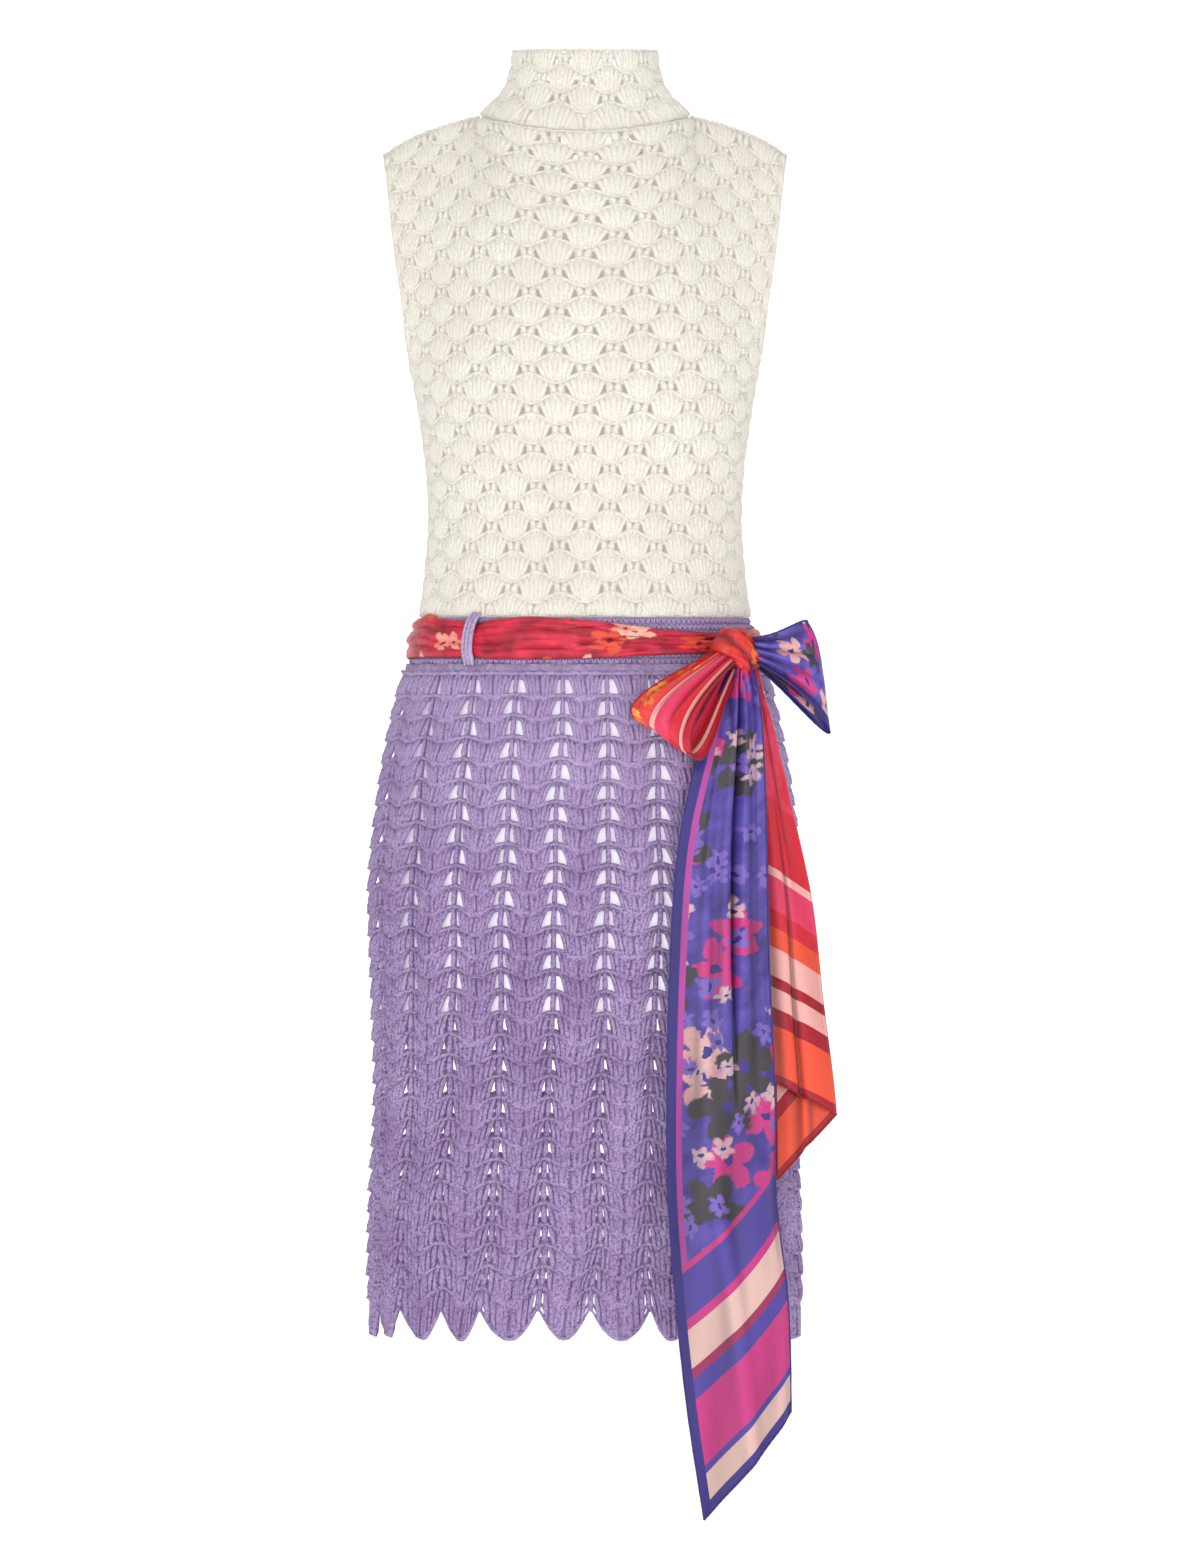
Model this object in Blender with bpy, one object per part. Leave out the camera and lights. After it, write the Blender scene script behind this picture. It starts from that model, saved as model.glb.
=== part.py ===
"""Sleeveless crochet mini dress with a scarf sash.

It has a mock neck, a net bodice, a shell-stitch skirt with a scalloped hem, and a scarf tied in a bow at one hip.
Metres, +Z up, the front of the dress towards -Y. The origin is the middle of the neck, level with the shoulders.
Every cloth piece starts as a flat sheet, is cut while flat, gets its thickness and is then bent into place.
"""

import functools
import math

import bmesh
import bpy
from mathutils import Vector

# Walls and seams
KNIT = 0.0026
SILK = 0.0012
SEAM = 0.0003
ROUNDNESS = 2.15  # exponent of the rings: 2 is an ellipse

# Levels of the dress below the shoulders
UNDERARM = -0.209
WAISTBAND_TOP = -0.3863
WAISTBAND_FOOT = -0.4235
HEM_NOTCH = -0.9270
HEM_TIP = -0.9525

# Neck and shoulders
NECK_HALF_WIDTH = 0.0815
NECK_LEVEL = 0.0050
NECK_CENTRE = 0.0040
NECK_FRONT = 0.0740
NECK_BACK = 0.0560
FRONT_DIP = 0.0130
BACK_LIFT = 0.0070
COLLAR_TOP = 0.0575
COLLAR_HALF_WIDTH = 0.0535
COLLAR_HALF_DEPTH = 0.0500
COLLAR_CENTRE = -0.0060
SHOULDER_HALF_WIDTH = 0.1535
SHOULDER_FALL = (0.0180, 0.0130)  # even slope, and the drop that gathers at the tip
SHOULDER_BACK = 0.0100
NECK_SHARE = 0.50  # share of a panel's width that ends on the neckline
ARMHOLE_SCOOP = {"front": 0.042, "back": 0.046}
CHEST_ROUND = {"front": 2.1, "back": 2.5}

# The short slip sewn into the waistband, which shows white through the gaps of the upper skirt
LINING = 0.0010
LINING_INSIDE = 0.0012  # from the inner face of the waistband
LINING_FOOT = -0.7000

# Skirt stitch
SHELL_COLUMNS = 11  # on each panel
COLUMN_WIDTH = 0.0403
ROW_PAIR = 0.0328  # two rows of shells, from one large gap to the next
FIRST_GAP = -0.4390
GAP_ROWS = 13
GAP_REACH = 0.0056
TIP_ROUND = 0.0085
RIPPLE_TOP = 0.0008
RIPPLE_HEM = 0.0026

# Sash
BELT_FOOT = -0.4190
BELT_TOP = -0.3865
BELT_DIP = 0.0110
BELT_DIP_REACH = 0.075
BELT_STATIONS = 40
KNOT_SHARE = 0.405  # how far round the belt the knot sits
KNOT_AT = Vector((0.1205, -0.0800, -0.4090))
KNOT_OUT = Vector((0.669, -0.743, 0.0))
KNOT_SIZE = Vector((0.0200, 0.0135, 0.0185))  # along the belt, outwards, up

SECTION_COLUMNS = ("height", "half_width", "front", "back")
SECTIONS = (
    (-0.190, 0.1318, 0.1135, 0.1004),
    (-0.209, 0.1290, 0.1130, 0.1000),
    (-0.230, 0.1256, 0.1112, 0.0982),
    (-0.254, 0.1222, 0.1045, 0.0932),
    (-0.279, 0.1196, 0.0965, 0.0878),
    (-0.3105, 0.1184, 0.091, 0.085),
    (-0.3416, 0.1204, 0.091, 0.086),
    (-0.373, 0.1250, 0.094, 0.089),
    (-0.3863, 0.1285, 0.096, 0.091),
    (-0.405, 0.1335, 0.099, 0.094),
    (-0.4235, 0.1390, 0.102, 0.098),
    (-0.451, 0.1460, 0.106, 0.104),
    (-0.4976, 0.1546, 0.110, 0.110),
    (-0.560, 0.1616, 0.113, 0.116),
    (-0.607, 0.1647, 0.114, 0.118),
    (-0.685, 0.1630, 0.114, 0.118),
    (-0.763, 0.1616, 0.114, 0.116),
    (-0.841, 0.1655, 0.116, 0.116),
    (-0.960, 0.1680, 0.118, 0.117),
)

# The long tail of the scarf. Each row is a level, with the two edges in plan and the depth of the folds.
LONG_TAIL_COLUMNS = ("height", "left_x", "left_y", "right_x", "right_y", "fold")
LONG_TAIL = (
    (-0.4235, 0.1120, -0.0800, 0.1270, -0.0755, 0.0015),
    (-0.4430, 0.1020, -0.0880, 0.1330, -0.0800, 0.0030),
    (-0.5000, 0.0850, -0.1090, 0.1365, -0.0880, 0.0075),
    (-0.5660, 0.0714, -0.1180, 0.1390, -0.0930, 0.0080),
    (-0.6560, 0.0650, -0.1210, 0.1420, -0.0940, 0.0060),
    (-0.7630, 0.0620, -0.1220, 0.1480, -0.0950, 0.0045),
    (-0.8400, 0.0630, -0.1240, 0.1500, -0.0960, 0.0035),
    (-0.9190, 0.0730, -0.1250, 0.1590, -0.0960, 0.0030),
    (-1.0050, 0.0830, -0.1250, 0.1610, -0.0960, 0.0025),
    (-1.0900, 0.0950, -0.1230, 0.1610, -0.0970, 0.0015),
)
LONG_TAIL_END = (-1.0880, -1.0050)  # level of the end at the left and at the right edge

# The short tail is folded in two, so a row also has the share of its width that lies behind.
SHORT_TAIL_COLUMNS = ("height", "fold_x", "fold_y", "front_width", "back_width", "layer_gap")
SHORT_TAIL = (
    (-0.4200, 0.1340, -0.0640, 0.0150, 0.0120, 0.0030),
    (-0.4430, 0.1385, -0.0650, 0.0180, 0.0150, 0.0034),
    (-0.4664, 0.1455, -0.0655, 0.0210, 0.0180, 0.0036),
    (-0.5290, 0.1600, -0.0620, 0.0320, 0.0260, 0.0040),
    (-0.6070, 0.1770, -0.0580, 0.0470, 0.0360, 0.0044),
    (-0.6850, 0.1860, -0.0560, 0.0540, 0.0430, 0.0046),
    (-0.7630, 0.1955, -0.0560, 0.0600, 0.0500, 0.0046),
    (-0.8300, 0.1990, -0.0560, 0.0620, 0.0530, 0.0044),
)
SHORT_TAIL_END = (-0.7450, -0.7680, -0.8250)  # level of the end at the inner edge, the fold and the back edge
SHORT_TAIL_WAY = Vector((0.914, 0.407, 0.0))

# Bow loops: where the turn is, measured from the knot, and how wide and thick the loop is there.
LEFT_LOOP = {
    "turn": Vector((-0.0520, -0.0560, -0.0700)),
    "across": Vector((-0.900, 0.330, 0.270)),
    "root_width": 0.0075,
    "turn_width": 0.0335,
    "swell": 0.0150,
    "slip": 0.0040,
}
RIGHT_LOOP = {
    "turn": Vector((0.0645, 0.0120, -0.0260)),
    "across": Vector((-0.060, 0.0, 1.0)),
    "root_width": 0.0070,
    "turn_width": 0.0400,
    "swell": 0.0140,
    "slip": 0.0040,
}

BELT_LOOPS = (
    ("belt_loop_front", "front", 0.185),
    ("belt_loop_back_a", "back", 0.27),
    ("belt_loop_back_b", "back", 0.73),
)


def clear_scene():
    for item in list(bpy.data.objects):
        bpy.data.objects.remove(item)


def material(name, colour, roughness):
    made = bpy.data.materials.new(name)
    made.use_nodes = True
    shader = made.node_tree.nodes["Principled BSDF"]
    shader.inputs["Base Color"].default_value = (*colour, 1.0)
    shader.inputs["Roughness"].default_value = roughness
    shader.inputs["Metallic"].default_value = 0.0
    return made


def smooth_table(table, at):
    """The other columns of a table at a value of its first column, on a smooth curve through its rows."""
    rows = sorted(table)
    at = min(max(at, rows[0][0]), rows[-1][0])
    i = max(k for k in range(len(rows) - 1) if rows[k][0] <= at)
    low, high = rows[i], rows[i + 1]
    before, after = rows[max(i - 1, 0)], rows[min(i + 2, len(rows) - 1)]
    span = high[0] - low[0]
    t = (at - low[0]) / span
    found = []
    for k in range(1, len(low)):
        start = (high[k] - before[k]) / (high[0] - before[0]) * span
        end = (after[k] - low[k]) / (after[0] - low[0]) * span
        found.append(
            low[k] * (2 * t**3 - 3 * t**2 + 1)
            + start * (t**3 - 2 * t**2 + t)
            + high[k] * (3 * t**2 - 2 * t**3)
            + end * (t**3 - t**2)
        )
    return found


RING_STEPS = 120


@functools.lru_cache(maxsize=None)
def half_ring(height, side):
    """Points of one half of the body's ring, from the -X side to the +X side, and each one's share of the length."""
    half_width, front, back = smooth_table(SECTIONS, height)
    depth = -front if side == "front" else back
    points = []
    for k in range(RING_STEPS + 1):
        angle = math.pi * k / RING_STEPS
        x = -half_width * math.copysign(abs(math.cos(angle)) ** (2 / ROUNDNESS), math.cos(angle))
        y = depth * math.sin(angle) ** (2 / ROUNDNESS)
        points.append(Vector((x, y, height)))
    shares = [0.0]
    for a, b in zip(points, points[1:]):
        shares.append(shares[-1] + (b - a).length)
    return points, [s / shares[-1] for s in shares]


def on_ring(height, share, side):
    points, shares = half_ring(height, side)
    share = min(max(share, 0.0), 1.0)
    low, high = 0, RING_STEPS
    while high - low > 1:
        middle = (low + high) // 2
        if shares[middle] <= share:
            low = middle
        else:
            high = middle
    t = (share - shares[low]) / (shares[high] - shares[low])
    return points[low].lerp(points[high], t)


def body(height, share, side, out=0.0):
    """A point on the body's form, moved out by a distance along the ring's own normal."""
    step = 0.004
    here = on_ring(height, share, side)
    along = on_ring(height, min(share + step, 1.0), side) - on_ring(height, max(share - step, 0.0), side)
    if share < step or share > 1 - step:
        normal = Vector((math.copysign(1.0, here.x), 0.0, 0.0))
    else:
        normal = Vector((along.y, -along.x, 0.0)).normalized()
        if normal.y * here.y < 0:
            normal.negate()
    return here + normal * out


def around_body(height, around, out):
    """The same for a closed band, where around is the turn from the -X side by way of the front."""
    if around < 0.5:
        return body(height, 2 * around, "front", out)
    return body(height, 2 - 2 * around, "back", out)


def eased(value):
    value = min(max(value, 0.0), 1.0)
    return value * value * (3 - 2 * value)


def seam_share(share, length):
    """A share of a panel's width with half a seam's gap left at each side."""
    edge = 0.5 * SEAM / length
    return edge + share * (1 - 2 * edge)


# Neck and shoulder line


def neckline(angle, side):
    """A point of the neckline: angle 0 is at the +X shoulder, and a quarter turn is the middle."""
    depth = -NECK_FRONT if side == "front" else NECK_BACK
    rise = -FRONT_DIP if side == "front" else BACK_LIFT
    return Vector(
        (
            NECK_HALF_WIDTH * math.cos(angle),
            NECK_CENTRE + depth * math.sin(angle),
            NECK_LEVEL + rise * math.sin(angle) ** 2,
        )
    )


def top_edge(across, side):
    """The top of a bodice panel, from -1 at the left shoulder's tip to 1 at the right one."""
    if abs(across) < NECK_SHARE:
        return neckline(0.5 * math.pi * (1 - across / NECK_SHARE), side)
    k = (abs(across) - NECK_SHARE) / (1 - NECK_SHARE)
    x = NECK_HALF_WIDTH + (SHOULDER_HALF_WIDTH - NECK_HALF_WIDTH) * k
    return Vector(
        (
            math.copysign(x, across),
            NECK_CENTRE + (SHOULDER_BACK - NECK_CENTRE) * k,
            NECK_LEVEL - SHOULDER_FALL[0] * k - SHOULDER_FALL[1] * k**3,
        )
    )


def soft_top(across, side):
    """The top edge without the corner between neckline and shoulder, which the cloth lower down follows."""
    reach = min(0.24, 1 - abs(across))
    samples = [top_edge(across + reach * k / 3, side) for k in range(-3, 4)]
    return sum(samples, Vector()) / len(samples)


def mitre(point):
    """The direction of the seam between the bodice and what meets it at the top, the same for both pieces."""
    return Vector((1.4 * point.x, 6.0 * (point.y - NECK_CENTRE), 0.9)).normalized()


def bodice_surface(across, height, rise, side):
    """A point of the bodice: below the underarm at a height, above it at a rise from 0 to 1."""
    length = math.pi * 0.11
    share = seam_share((across + 1) / 2, length)
    if rise <= 0:
        return on_ring(height, share, side)
    foot = on_ring(UNDERARM, share, side)
    top = soft_top(across, side).lerp(top_edge(across, side), rise**3)
    turn = rise ** CHEST_ROUND[side]
    point = foot.lerp(top, rise)
    point.y = foot.y + (top.y - foot.y) * turn
    scoop = ARMHOLE_SCOOP[side] * abs(across) ** 4 * math.sin(math.pi * min(rise, 1.0)) ** 0.6
    point.y += -scoop if side == "front" else scoop
    return point


def bodice_place(side):
    sign = -1 if side == "front" else 1

    def place(across, level, out):
        """Level runs from -1 at the waistband to 0 at the underarm and 1 at the shoulder."""

        def at(a, v):
            height = UNDERARM + (UNDERARM - WAISTBAND_TOP) * v if v < 0 else UNDERARM
            return bodice_surface(a, height, v, side)

        step = 0.01
        here = at(across, level)
        if out == 0:
            return here
        if level <= 0:
            share = (across + 1) / 2
            height = UNDERARM + (UNDERARM - WAISTBAND_TOP) * level
            direction = body(height, share, side, 1.0) - body(height, share, side)
        else:
            over = at(min(across + step, 1.0), level) - at(max(across - step, -1.0), level)
            up = at(across, min(level + step, 1.0)) - at(across, max(level - step, 0.0))
            direction = over.cross(up).normalized() * (1 if side == "front" else -1)
            if direction.y * sign < 0 and direction.z < 0:
                direction.negate()
            direction = direction.lerp(mitre(here), eased((level - 0.82) / 0.18)).normalized()
            below = body(UNDERARM, (across + 1) / 2, side, 1.0) - body(UNDERARM, (across + 1) / 2, side)
            direction = below.lerp(direction, eased(level / 0.12)).normalized()
        return here + direction * out

    return place


def collar_place(around, rise, out):
    """Around is the turn from the -X shoulder by way of the front. Rise is 0 at the neck seam and 1 at the top."""
    turn = 2 * math.pi * around
    side = "front" if around < 0.5 else "back"
    base = neckline(math.pi - turn if around < 0.5 else turn - math.pi, side)
    base.z += 0.5 * SEAM
    top = Vector(
        (
            -COLLAR_HALF_WIDTH * math.cos(turn),
            COLLAR_CENTRE - COLLAR_HALF_DEPTH * math.sin(turn),
            COLLAR_TOP,
        )
    )
    inwards = 1 - (1 - rise) ** 2.6
    point = base.lerp(top, inwards)
    point.z = base.z + (top.z - base.z) * rise
    level_out = Vector((top.x, top.y - COLLAR_CENTRE, 0.012)).normalized()
    direction = mitre(base).lerp(level_out, eased(rise / 0.45)).normalized()
    return point + direction * out


# Skirt


def ripple(width, height):
    """How far the shells stand out from the gap columns, which grows towards the hem."""
    share = min(max((height - WAISTBAND_FOOT) / (HEM_TIP - WAISTBAND_FOOT), 0.0), 1.0)
    return -(RIPPLE_TOP + (RIPPLE_HEM - RIPPLE_TOP) * share) * math.cos(2 * math.pi * width / COLUMN_WIDTH)


def skirt_place(side):
    def place(width, height, out):
        share = seam_share(width / (SHELL_COLUMNS * COLUMN_WIDTH), math.pi * 0.14)
        return body(height, share, side, RIPPLE_HEM + ripple(width, height) + out)

    return place


def cut_skirt(sheet):
    """Opens a gap at each crossing of a gap column and a gap row, and rounds the tips of the hem."""
    crossings = []
    tips = []
    for vert in sheet.verts:
        column = vert.co.x / COLUMN_WIDTH
        row = (FIRST_GAP - vert.co.y) / ROW_PAIR
        on_column = abs(column - round(column)) < 0.01 and 0.5 < column < SHELL_COLUMNS - 0.5
        if on_column and abs(row - round(row)) < 0.01 and -0.5 < row < GAP_ROWS - 0.5:
            crossings.append(vert)
        if vert.co.y < HEM_TIP + 0.001:
            tips.append(vert)
    corner = {"affect": "VERTICES", "offset_type": "OFFSET", "segments": 1, "profile": 0.5, "material": -1}
    opened = bmesh.ops.bevel(sheet, geom=crossings, offset=GAP_REACH, **corner)
    bmesh.ops.delete(sheet, geom=opened["faces"], context="FACES_ONLY")
    bmesh.ops.bevel(sheet, geom=tips, offset=TIP_ROUND, **corner)


def skirt_lines():
    across = [0.5 * COLUMN_WIDTH * k for k in range(2 * SHELL_COLUMNS + 1)]
    down = [WAISTBAND_FOOT - SEAM]
    down += [FIRST_GAP - ROW_PAIR * k for k in range(GAP_ROWS + 2)]
    return across, down + [HEM_NOTCH]


def scallop(sheet):
    """Pulls every second point of the hem down to the tip of its scallop."""
    for vert in sheet.verts:
        column = vert.co.x / COLUMN_WIDTH
        if abs(vert.co.y - HEM_NOTCH) < 1e-6 and abs(column - round(column)) > 0.25:
            vert.co.y = HEM_TIP
    cut_skirt(sheet)


# The one way all cloth is made


def at_end(face, edge):
    """Whether a face is part of the rim where a band's two ends are joined."""
    return all(abs(vert.co.x - edge) < 1e-9 for vert in face.verts)


def cloth(name, across, down, place, thickness, finish, closed=False, cut=None):
    """A flat sheet on a grid of lines, cut while flat, given a thickness, bent into place and made an object."""
    sheet = bmesh.new()
    bmesh.ops.create_grid(sheet, x_segments=len(across) - 1, y_segments=len(down) - 1, size=1.0)
    for vert in sheet.verts:
        i = round((vert.co.x + 1) / 2 * (len(across) - 1))
        j = round((vert.co.y + 1) / 2 * (len(down) - 1))
        vert.co = Vector((across[i], down[j], 0.0))
    if cut:
        cut(sheet)
    bmesh.ops.triangulate(sheet, faces=sheet.faces[:])
    raised = bmesh.ops.extrude_face_region(sheet, geom=sheet.faces[:], use_keep_orig=True)
    for item in raised["geom"]:
        if isinstance(item, bmesh.types.BMVert):
            item.co.z = thickness
    if closed:
        ends = [face for face in sheet.faces if at_end(face, across[0]) or at_end(face, across[-1])]
        bmesh.ops.delete(sheet, geom=ends, context="FACES")
    for vert in sheet.verts:
        vert.co = place(vert.co.x, vert.co.y, vert.co.z)
    if closed:
        bmesh.ops.remove_doubles(sheet, verts=sheet.verts[:], dist=1e-6)
    sheet.normal_update()
    bmesh.ops.recalc_face_normals(sheet, faces=sheet.faces[:])
    return made_object(name, sheet, finish)


def made_object(name, sheet, finish):
    mesh = bpy.data.meshes.new(name)
    sheet.to_mesh(mesh)
    sheet.free()
    mesh.materials.append(finish)
    mesh.shade_smooth()
    made = bpy.data.objects.new(name, mesh)
    bpy.context.scene.collection.objects.link(made)
    return made


def evenly(start, stop, cells):
    return [start + (stop - start) * k / cells for k in range(cells + 1)]


def sheet_normal(at, u, v, step=0.004):
    over = at(min(u + step, 1.0), v) - at(max(u - step, 0.0), v)
    along = at(u, min(v + step, 1.0)) - at(u, max(v - step, 0.0))
    return over.cross(along).normalized()


# Sash


def belt_place(around, profile, out):
    """Around is the turn from the -X side by way of the front. Profile is the share of the belt's height."""
    near_knot = math.exp(-(((around - KNOT_SHARE) / BELT_DIP_REACH) ** 2))
    top = BELT_TOP - BELT_DIP * near_knot
    height = BELT_FOOT + (top - BELT_FOOT) * profile
    gap = KNIT + SEAM
    folds = 0.0011 * math.cos(2 * math.pi * (3 * profile - 0.08 * math.sin(9 * math.pi * around)))
    full = 0.0034 * (math.sin(math.pi * profile) ** 0.5) if 0 < profile < 1 else 0.0
    thick = 0.0010 + full - folds * min(1.0, 6 * profile * (1 - profile))
    return around_body(height, around, gap + (thick if out > 0 else 0.0))


def belt_loop_place(side, share):
    """A narrow strip that leaves the waistband above the belt, goes over it and comes back below."""
    profile = (
        (0.0022, 0.0003, 0.0),
        (-0.0006, 0.0034, 0.0),
        (-0.0050, 0.0056, -0.0006),
        (-0.0180, 0.0058, -0.0012),
        (-0.0300, 0.0056, -0.0008),
        (-0.0350, 0.0034, 0.0),
        (-0.0378, 0.0003, 0.0),
    )

    def place(across, along, out):
        i = min(int(along), len(profile) - 2)
        t = along - i
        drop, lift, lean = (a + (b - a) * t for a, b in zip(profile[i], profile[i + 1]))
        height = BELT_TOP + drop + 0.0008
        half_length = math.pi * 0.117
        return body(height, share + (across + lean * 3) / half_length, side, KNIT + lift + out)

    return place


def knot(finish):
    """The wrap of cloth that holds the bow: a lump with the creases of its turns, flat where it lies on the belt."""
    lump = bmesh.new()
    bmesh.ops.create_uvsphere(lump, u_segments=20, v_segments=12, radius=1.0)
    along = KNOT_OUT.cross(Vector((0, 0, -1))).normalized()
    for vert in lump.verts:
        p = vert.co.copy()
        crease = 1 + 0.055 * math.cos(3.2 * math.atan2(p.z, p.x) + 2.2 * p.y)
        p *= crease
        p.y = max(p.y, -0.62)
        flat_place = along * (p.x * KNOT_SIZE.x) + KNOT_OUT * (p.y * KNOT_SIZE.y)
        vert.co = KNOT_AT + flat_place + Vector((0, 0, p.z * KNOT_SIZE.z))
    lump.normal_update()
    bmesh.ops.recalc_face_normals(lump, faces=lump.faces[:])
    return made_object("sash_knot", lump, finish)


def grown_knot(solid):
    """The knot's shape with a seam's gap added, which trims what comes out of it."""
    helper = solid.copy()
    helper.data = solid.data.copy()
    helper.name = "knot_clearance"
    normals = [v.normal.copy() for v in helper.data.vertices]
    for vert, normal in zip(helper.data.vertices, normals):
        vert.co += normal * (1.3 * SEAM)
    helper.hide_render = True
    helper.display_type = "WIRE"
    bpy.context.scene.collection.objects.link(helper)
    return helper


def trimmed_by(made, helper):
    cut = made.modifiers.new("trim_at_knot", "BOOLEAN")
    cut.operation = "DIFFERENCE"
    cut.solver = "EXACT"
    cut.object = helper
    return made


def long_tail_surface(across, along):
    foot = LONG_TAIL_END[0] + (LONG_TAIL_END[1] - LONG_TAIL_END[0]) * across
    height = LONG_TAIL[0][0] + (foot - LONG_TAIL[0][0]) * along
    left_x, left_y, right_x, right_y, fold = smooth_table(LONG_TAIL, height)
    left = Vector((left_x, left_y, height))
    right = Vector((right_x, right_y, height))
    point = left.lerp(right, across)
    outwards = Vector((right.y - left.y, left.x - right.x, 0)).normalized()
    crease = math.exp(-(((across - 0.56) / 0.07) ** 2))
    wave = 0.5 * math.sin(math.pi * across) + 0.35 * math.sin(3 * math.pi * across + 4 * height)
    return point + outwards * fold * (wave - 1.1 * crease)


def short_tail_surface(across, along):
    """Across runs from the inner edge of the front layer, round the fold at 0.5, to the edge of the layer behind."""
    inner, fold, back = SHORT_TAIL_END
    if across < 0.5:
        foot = inner + (fold - inner) * across * 2
    else:
        foot = fold + (back - fold) * (across - 0.5) * 2
    height = SHORT_TAIL[0][0] + (foot - SHORT_TAIL[0][0]) * along
    fold_x, fold_y, front_width, back_width, layer_gap = smooth_table(SHORT_TAIL, height)
    turn = Vector((fold_x, fold_y, height))
    outwards = Vector((SHORT_TAIL_WAY.y, -SHORT_TAIL_WAY.x, 0))
    off = 2 * across - 1
    width = front_width if off < 0 else back_width
    side = math.copysign(min(1.0, math.sqrt(abs(off) * 3.0)), -off)
    bow = 0.0025 * math.sin(math.pi * min(abs(off), 1.0)) * (1 if off < 0 else -0.4)
    return turn - SHORT_TAIL_WAY * width * abs(off) + outwards * (0.5 * layer_gap * side + bow)


def loop_surface(shape):
    way = shape["turn"].normalized()
    across_way = shape["across"].normalized()
    outwards = way.cross(across_way).normalized()
    if outwards.dot(KNOT_OUT) < 0:
        outwards.negate()

    def surface(across, along):
        """Along runs out on the front layer, round the turn and back on the layer behind."""
        q = 2 * across - 1
        angle = math.pi * (0.03 + 0.94 * along)
        reach = math.sin(angle) ** 0.75
        width = shape["root_width"] + (shape["turn_width"] - shape["root_width"]) * math.sin(angle) ** 1.3
        puff = shape["swell"] * math.cos(angle) * math.sin(angle) ** 0.55
        curl = 1 - 0.28 * q * q
        slip = shape["slip"] * math.cos(angle) * math.sin(angle)
        point = KNOT_AT + shape["turn"] * reach * (1 + 0.05 * q)
        return point + across_way * (width * q + slip) + outwards * (puff * curl + 0.0035 * math.sin(angle))

    return surface


def thick_sheet(surface):
    """A placing function for a thin sheet whose thickness follows its own normal."""

    def place(u, v, out):
        return surface(u, v) + sheet_normal(surface, u, v) * (out - 0.5 * SILK)

    return place


clear_scene()

CREAM = material("cream_crochet", (0.885, 0.868, 0.805), 0.9)
LILAC = material("lilac_crochet", (0.400, 0.268, 0.560), 0.9)
WHITE = material("white_jersey", (0.860, 0.840, 0.860), 0.9)
RED_SILK = material("red_silk", (0.740, 0.040, 0.070), 0.55)
VIOLET_SILK = material("violet_silk", (0.100, 0.055, 0.340), 0.55)

BODICE_ACROSS = evenly(-1.0, 1.0, 24)
BODICE_LEVELS = evenly(-1.0 + 0.0009, 0.0, 5) + [0.02, 0.08, 0.20, 0.38, 0.58, 0.76, 0.89, 0.96, 0.9988]

for SIDE in ("front", "back"):
    cloth(f"bodice_{SIDE}", BODICE_ACROSS, BODICE_LEVELS, bodice_place(SIDE), KNIT, CREAM)
    ACROSS, DOWN = skirt_lines()
    cloth(f"skirt_{SIDE}", ACROSS, DOWN, skirt_place(SIDE), KNIT, LILAC, cut=scallop)

cloth("collar", evenly(0, 1, 24), [0.0, 0.15, 0.35, 0.62, 1.0], collar_place, KNIT, CREAM, closed=True)


def waistband_place(around, height, out):
    return around_body(height, around, out)


cloth(
    "waistband",
    evenly(0, 1, 40),
    evenly(WAISTBAND_TOP - SEAM, WAISTBAND_FOOT, 2),
    waistband_place,
    KNIT,
    LILAC,
    closed=True,
)


def lining_place(around, height, out):
    return around_body(height, around, out - LINING_INSIDE - LINING)


LINING_LEVELS = evenly(WAISTBAND_TOP - 2 * SEAM, LINING_FOOT, 5)
cloth("skirt_lining", evenly(0, 1, 32), LINING_LEVELS, lining_place, LINING, WHITE, closed=True)
cloth("sash_belt", evenly(0, 1, BELT_STATIONS), evenly(0, 1, 7), belt_place, 1.0, RED_SILK, closed=True)
for NAME, SIDE, SHARE in BELT_LOOPS:
    cloth(NAME, [-0.0032, 0.0032], evenly(0, 6, 6), belt_loop_place(SIDE, SHARE), 0.0018, LILAC)

KNOT = knot(RED_SILK)
CLEARANCE = grown_knot(KNOT)
SASH_PIECES = (
    ("tail_long", 12, 18, long_tail_surface, VIOLET_SILK),
    ("tail_short", 12, 12, short_tail_surface, RED_SILK),
    ("bow_loop_left", 6, 18, loop_surface(LEFT_LOOP), RED_SILK),
    ("bow_loop_right", 6, 18, loop_surface(RIGHT_LOOP), VIOLET_SILK),
)
for NAME, WIDE, LONG, SURFACE, FINISH in SASH_PIECES:
    trimmed_by(cloth(NAME, evenly(0, 1, WIDE), evenly(0, 1, LONG), thick_sheet(SURFACE), SILK, FINISH), CLEARANCE)
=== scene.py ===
# %% [markdown]
# # A crochet mini dress with a scarf sash
# The dress is a cream net bodice with a mock neck, joined by a dense waistband to a lilac skirt whose rows
# wave into a scalloped hem. A printed silk scarf runs through belt loops and is tied in a bow at one hip.
# The construction model is loaded as a fixed frame. Every piece then gets its real surface: yarn worked in
# stitches, or creased silk.

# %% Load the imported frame
import math

import bmesh
import bpy
import numpy as np
from mathutils import Matrix, Vector


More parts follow.
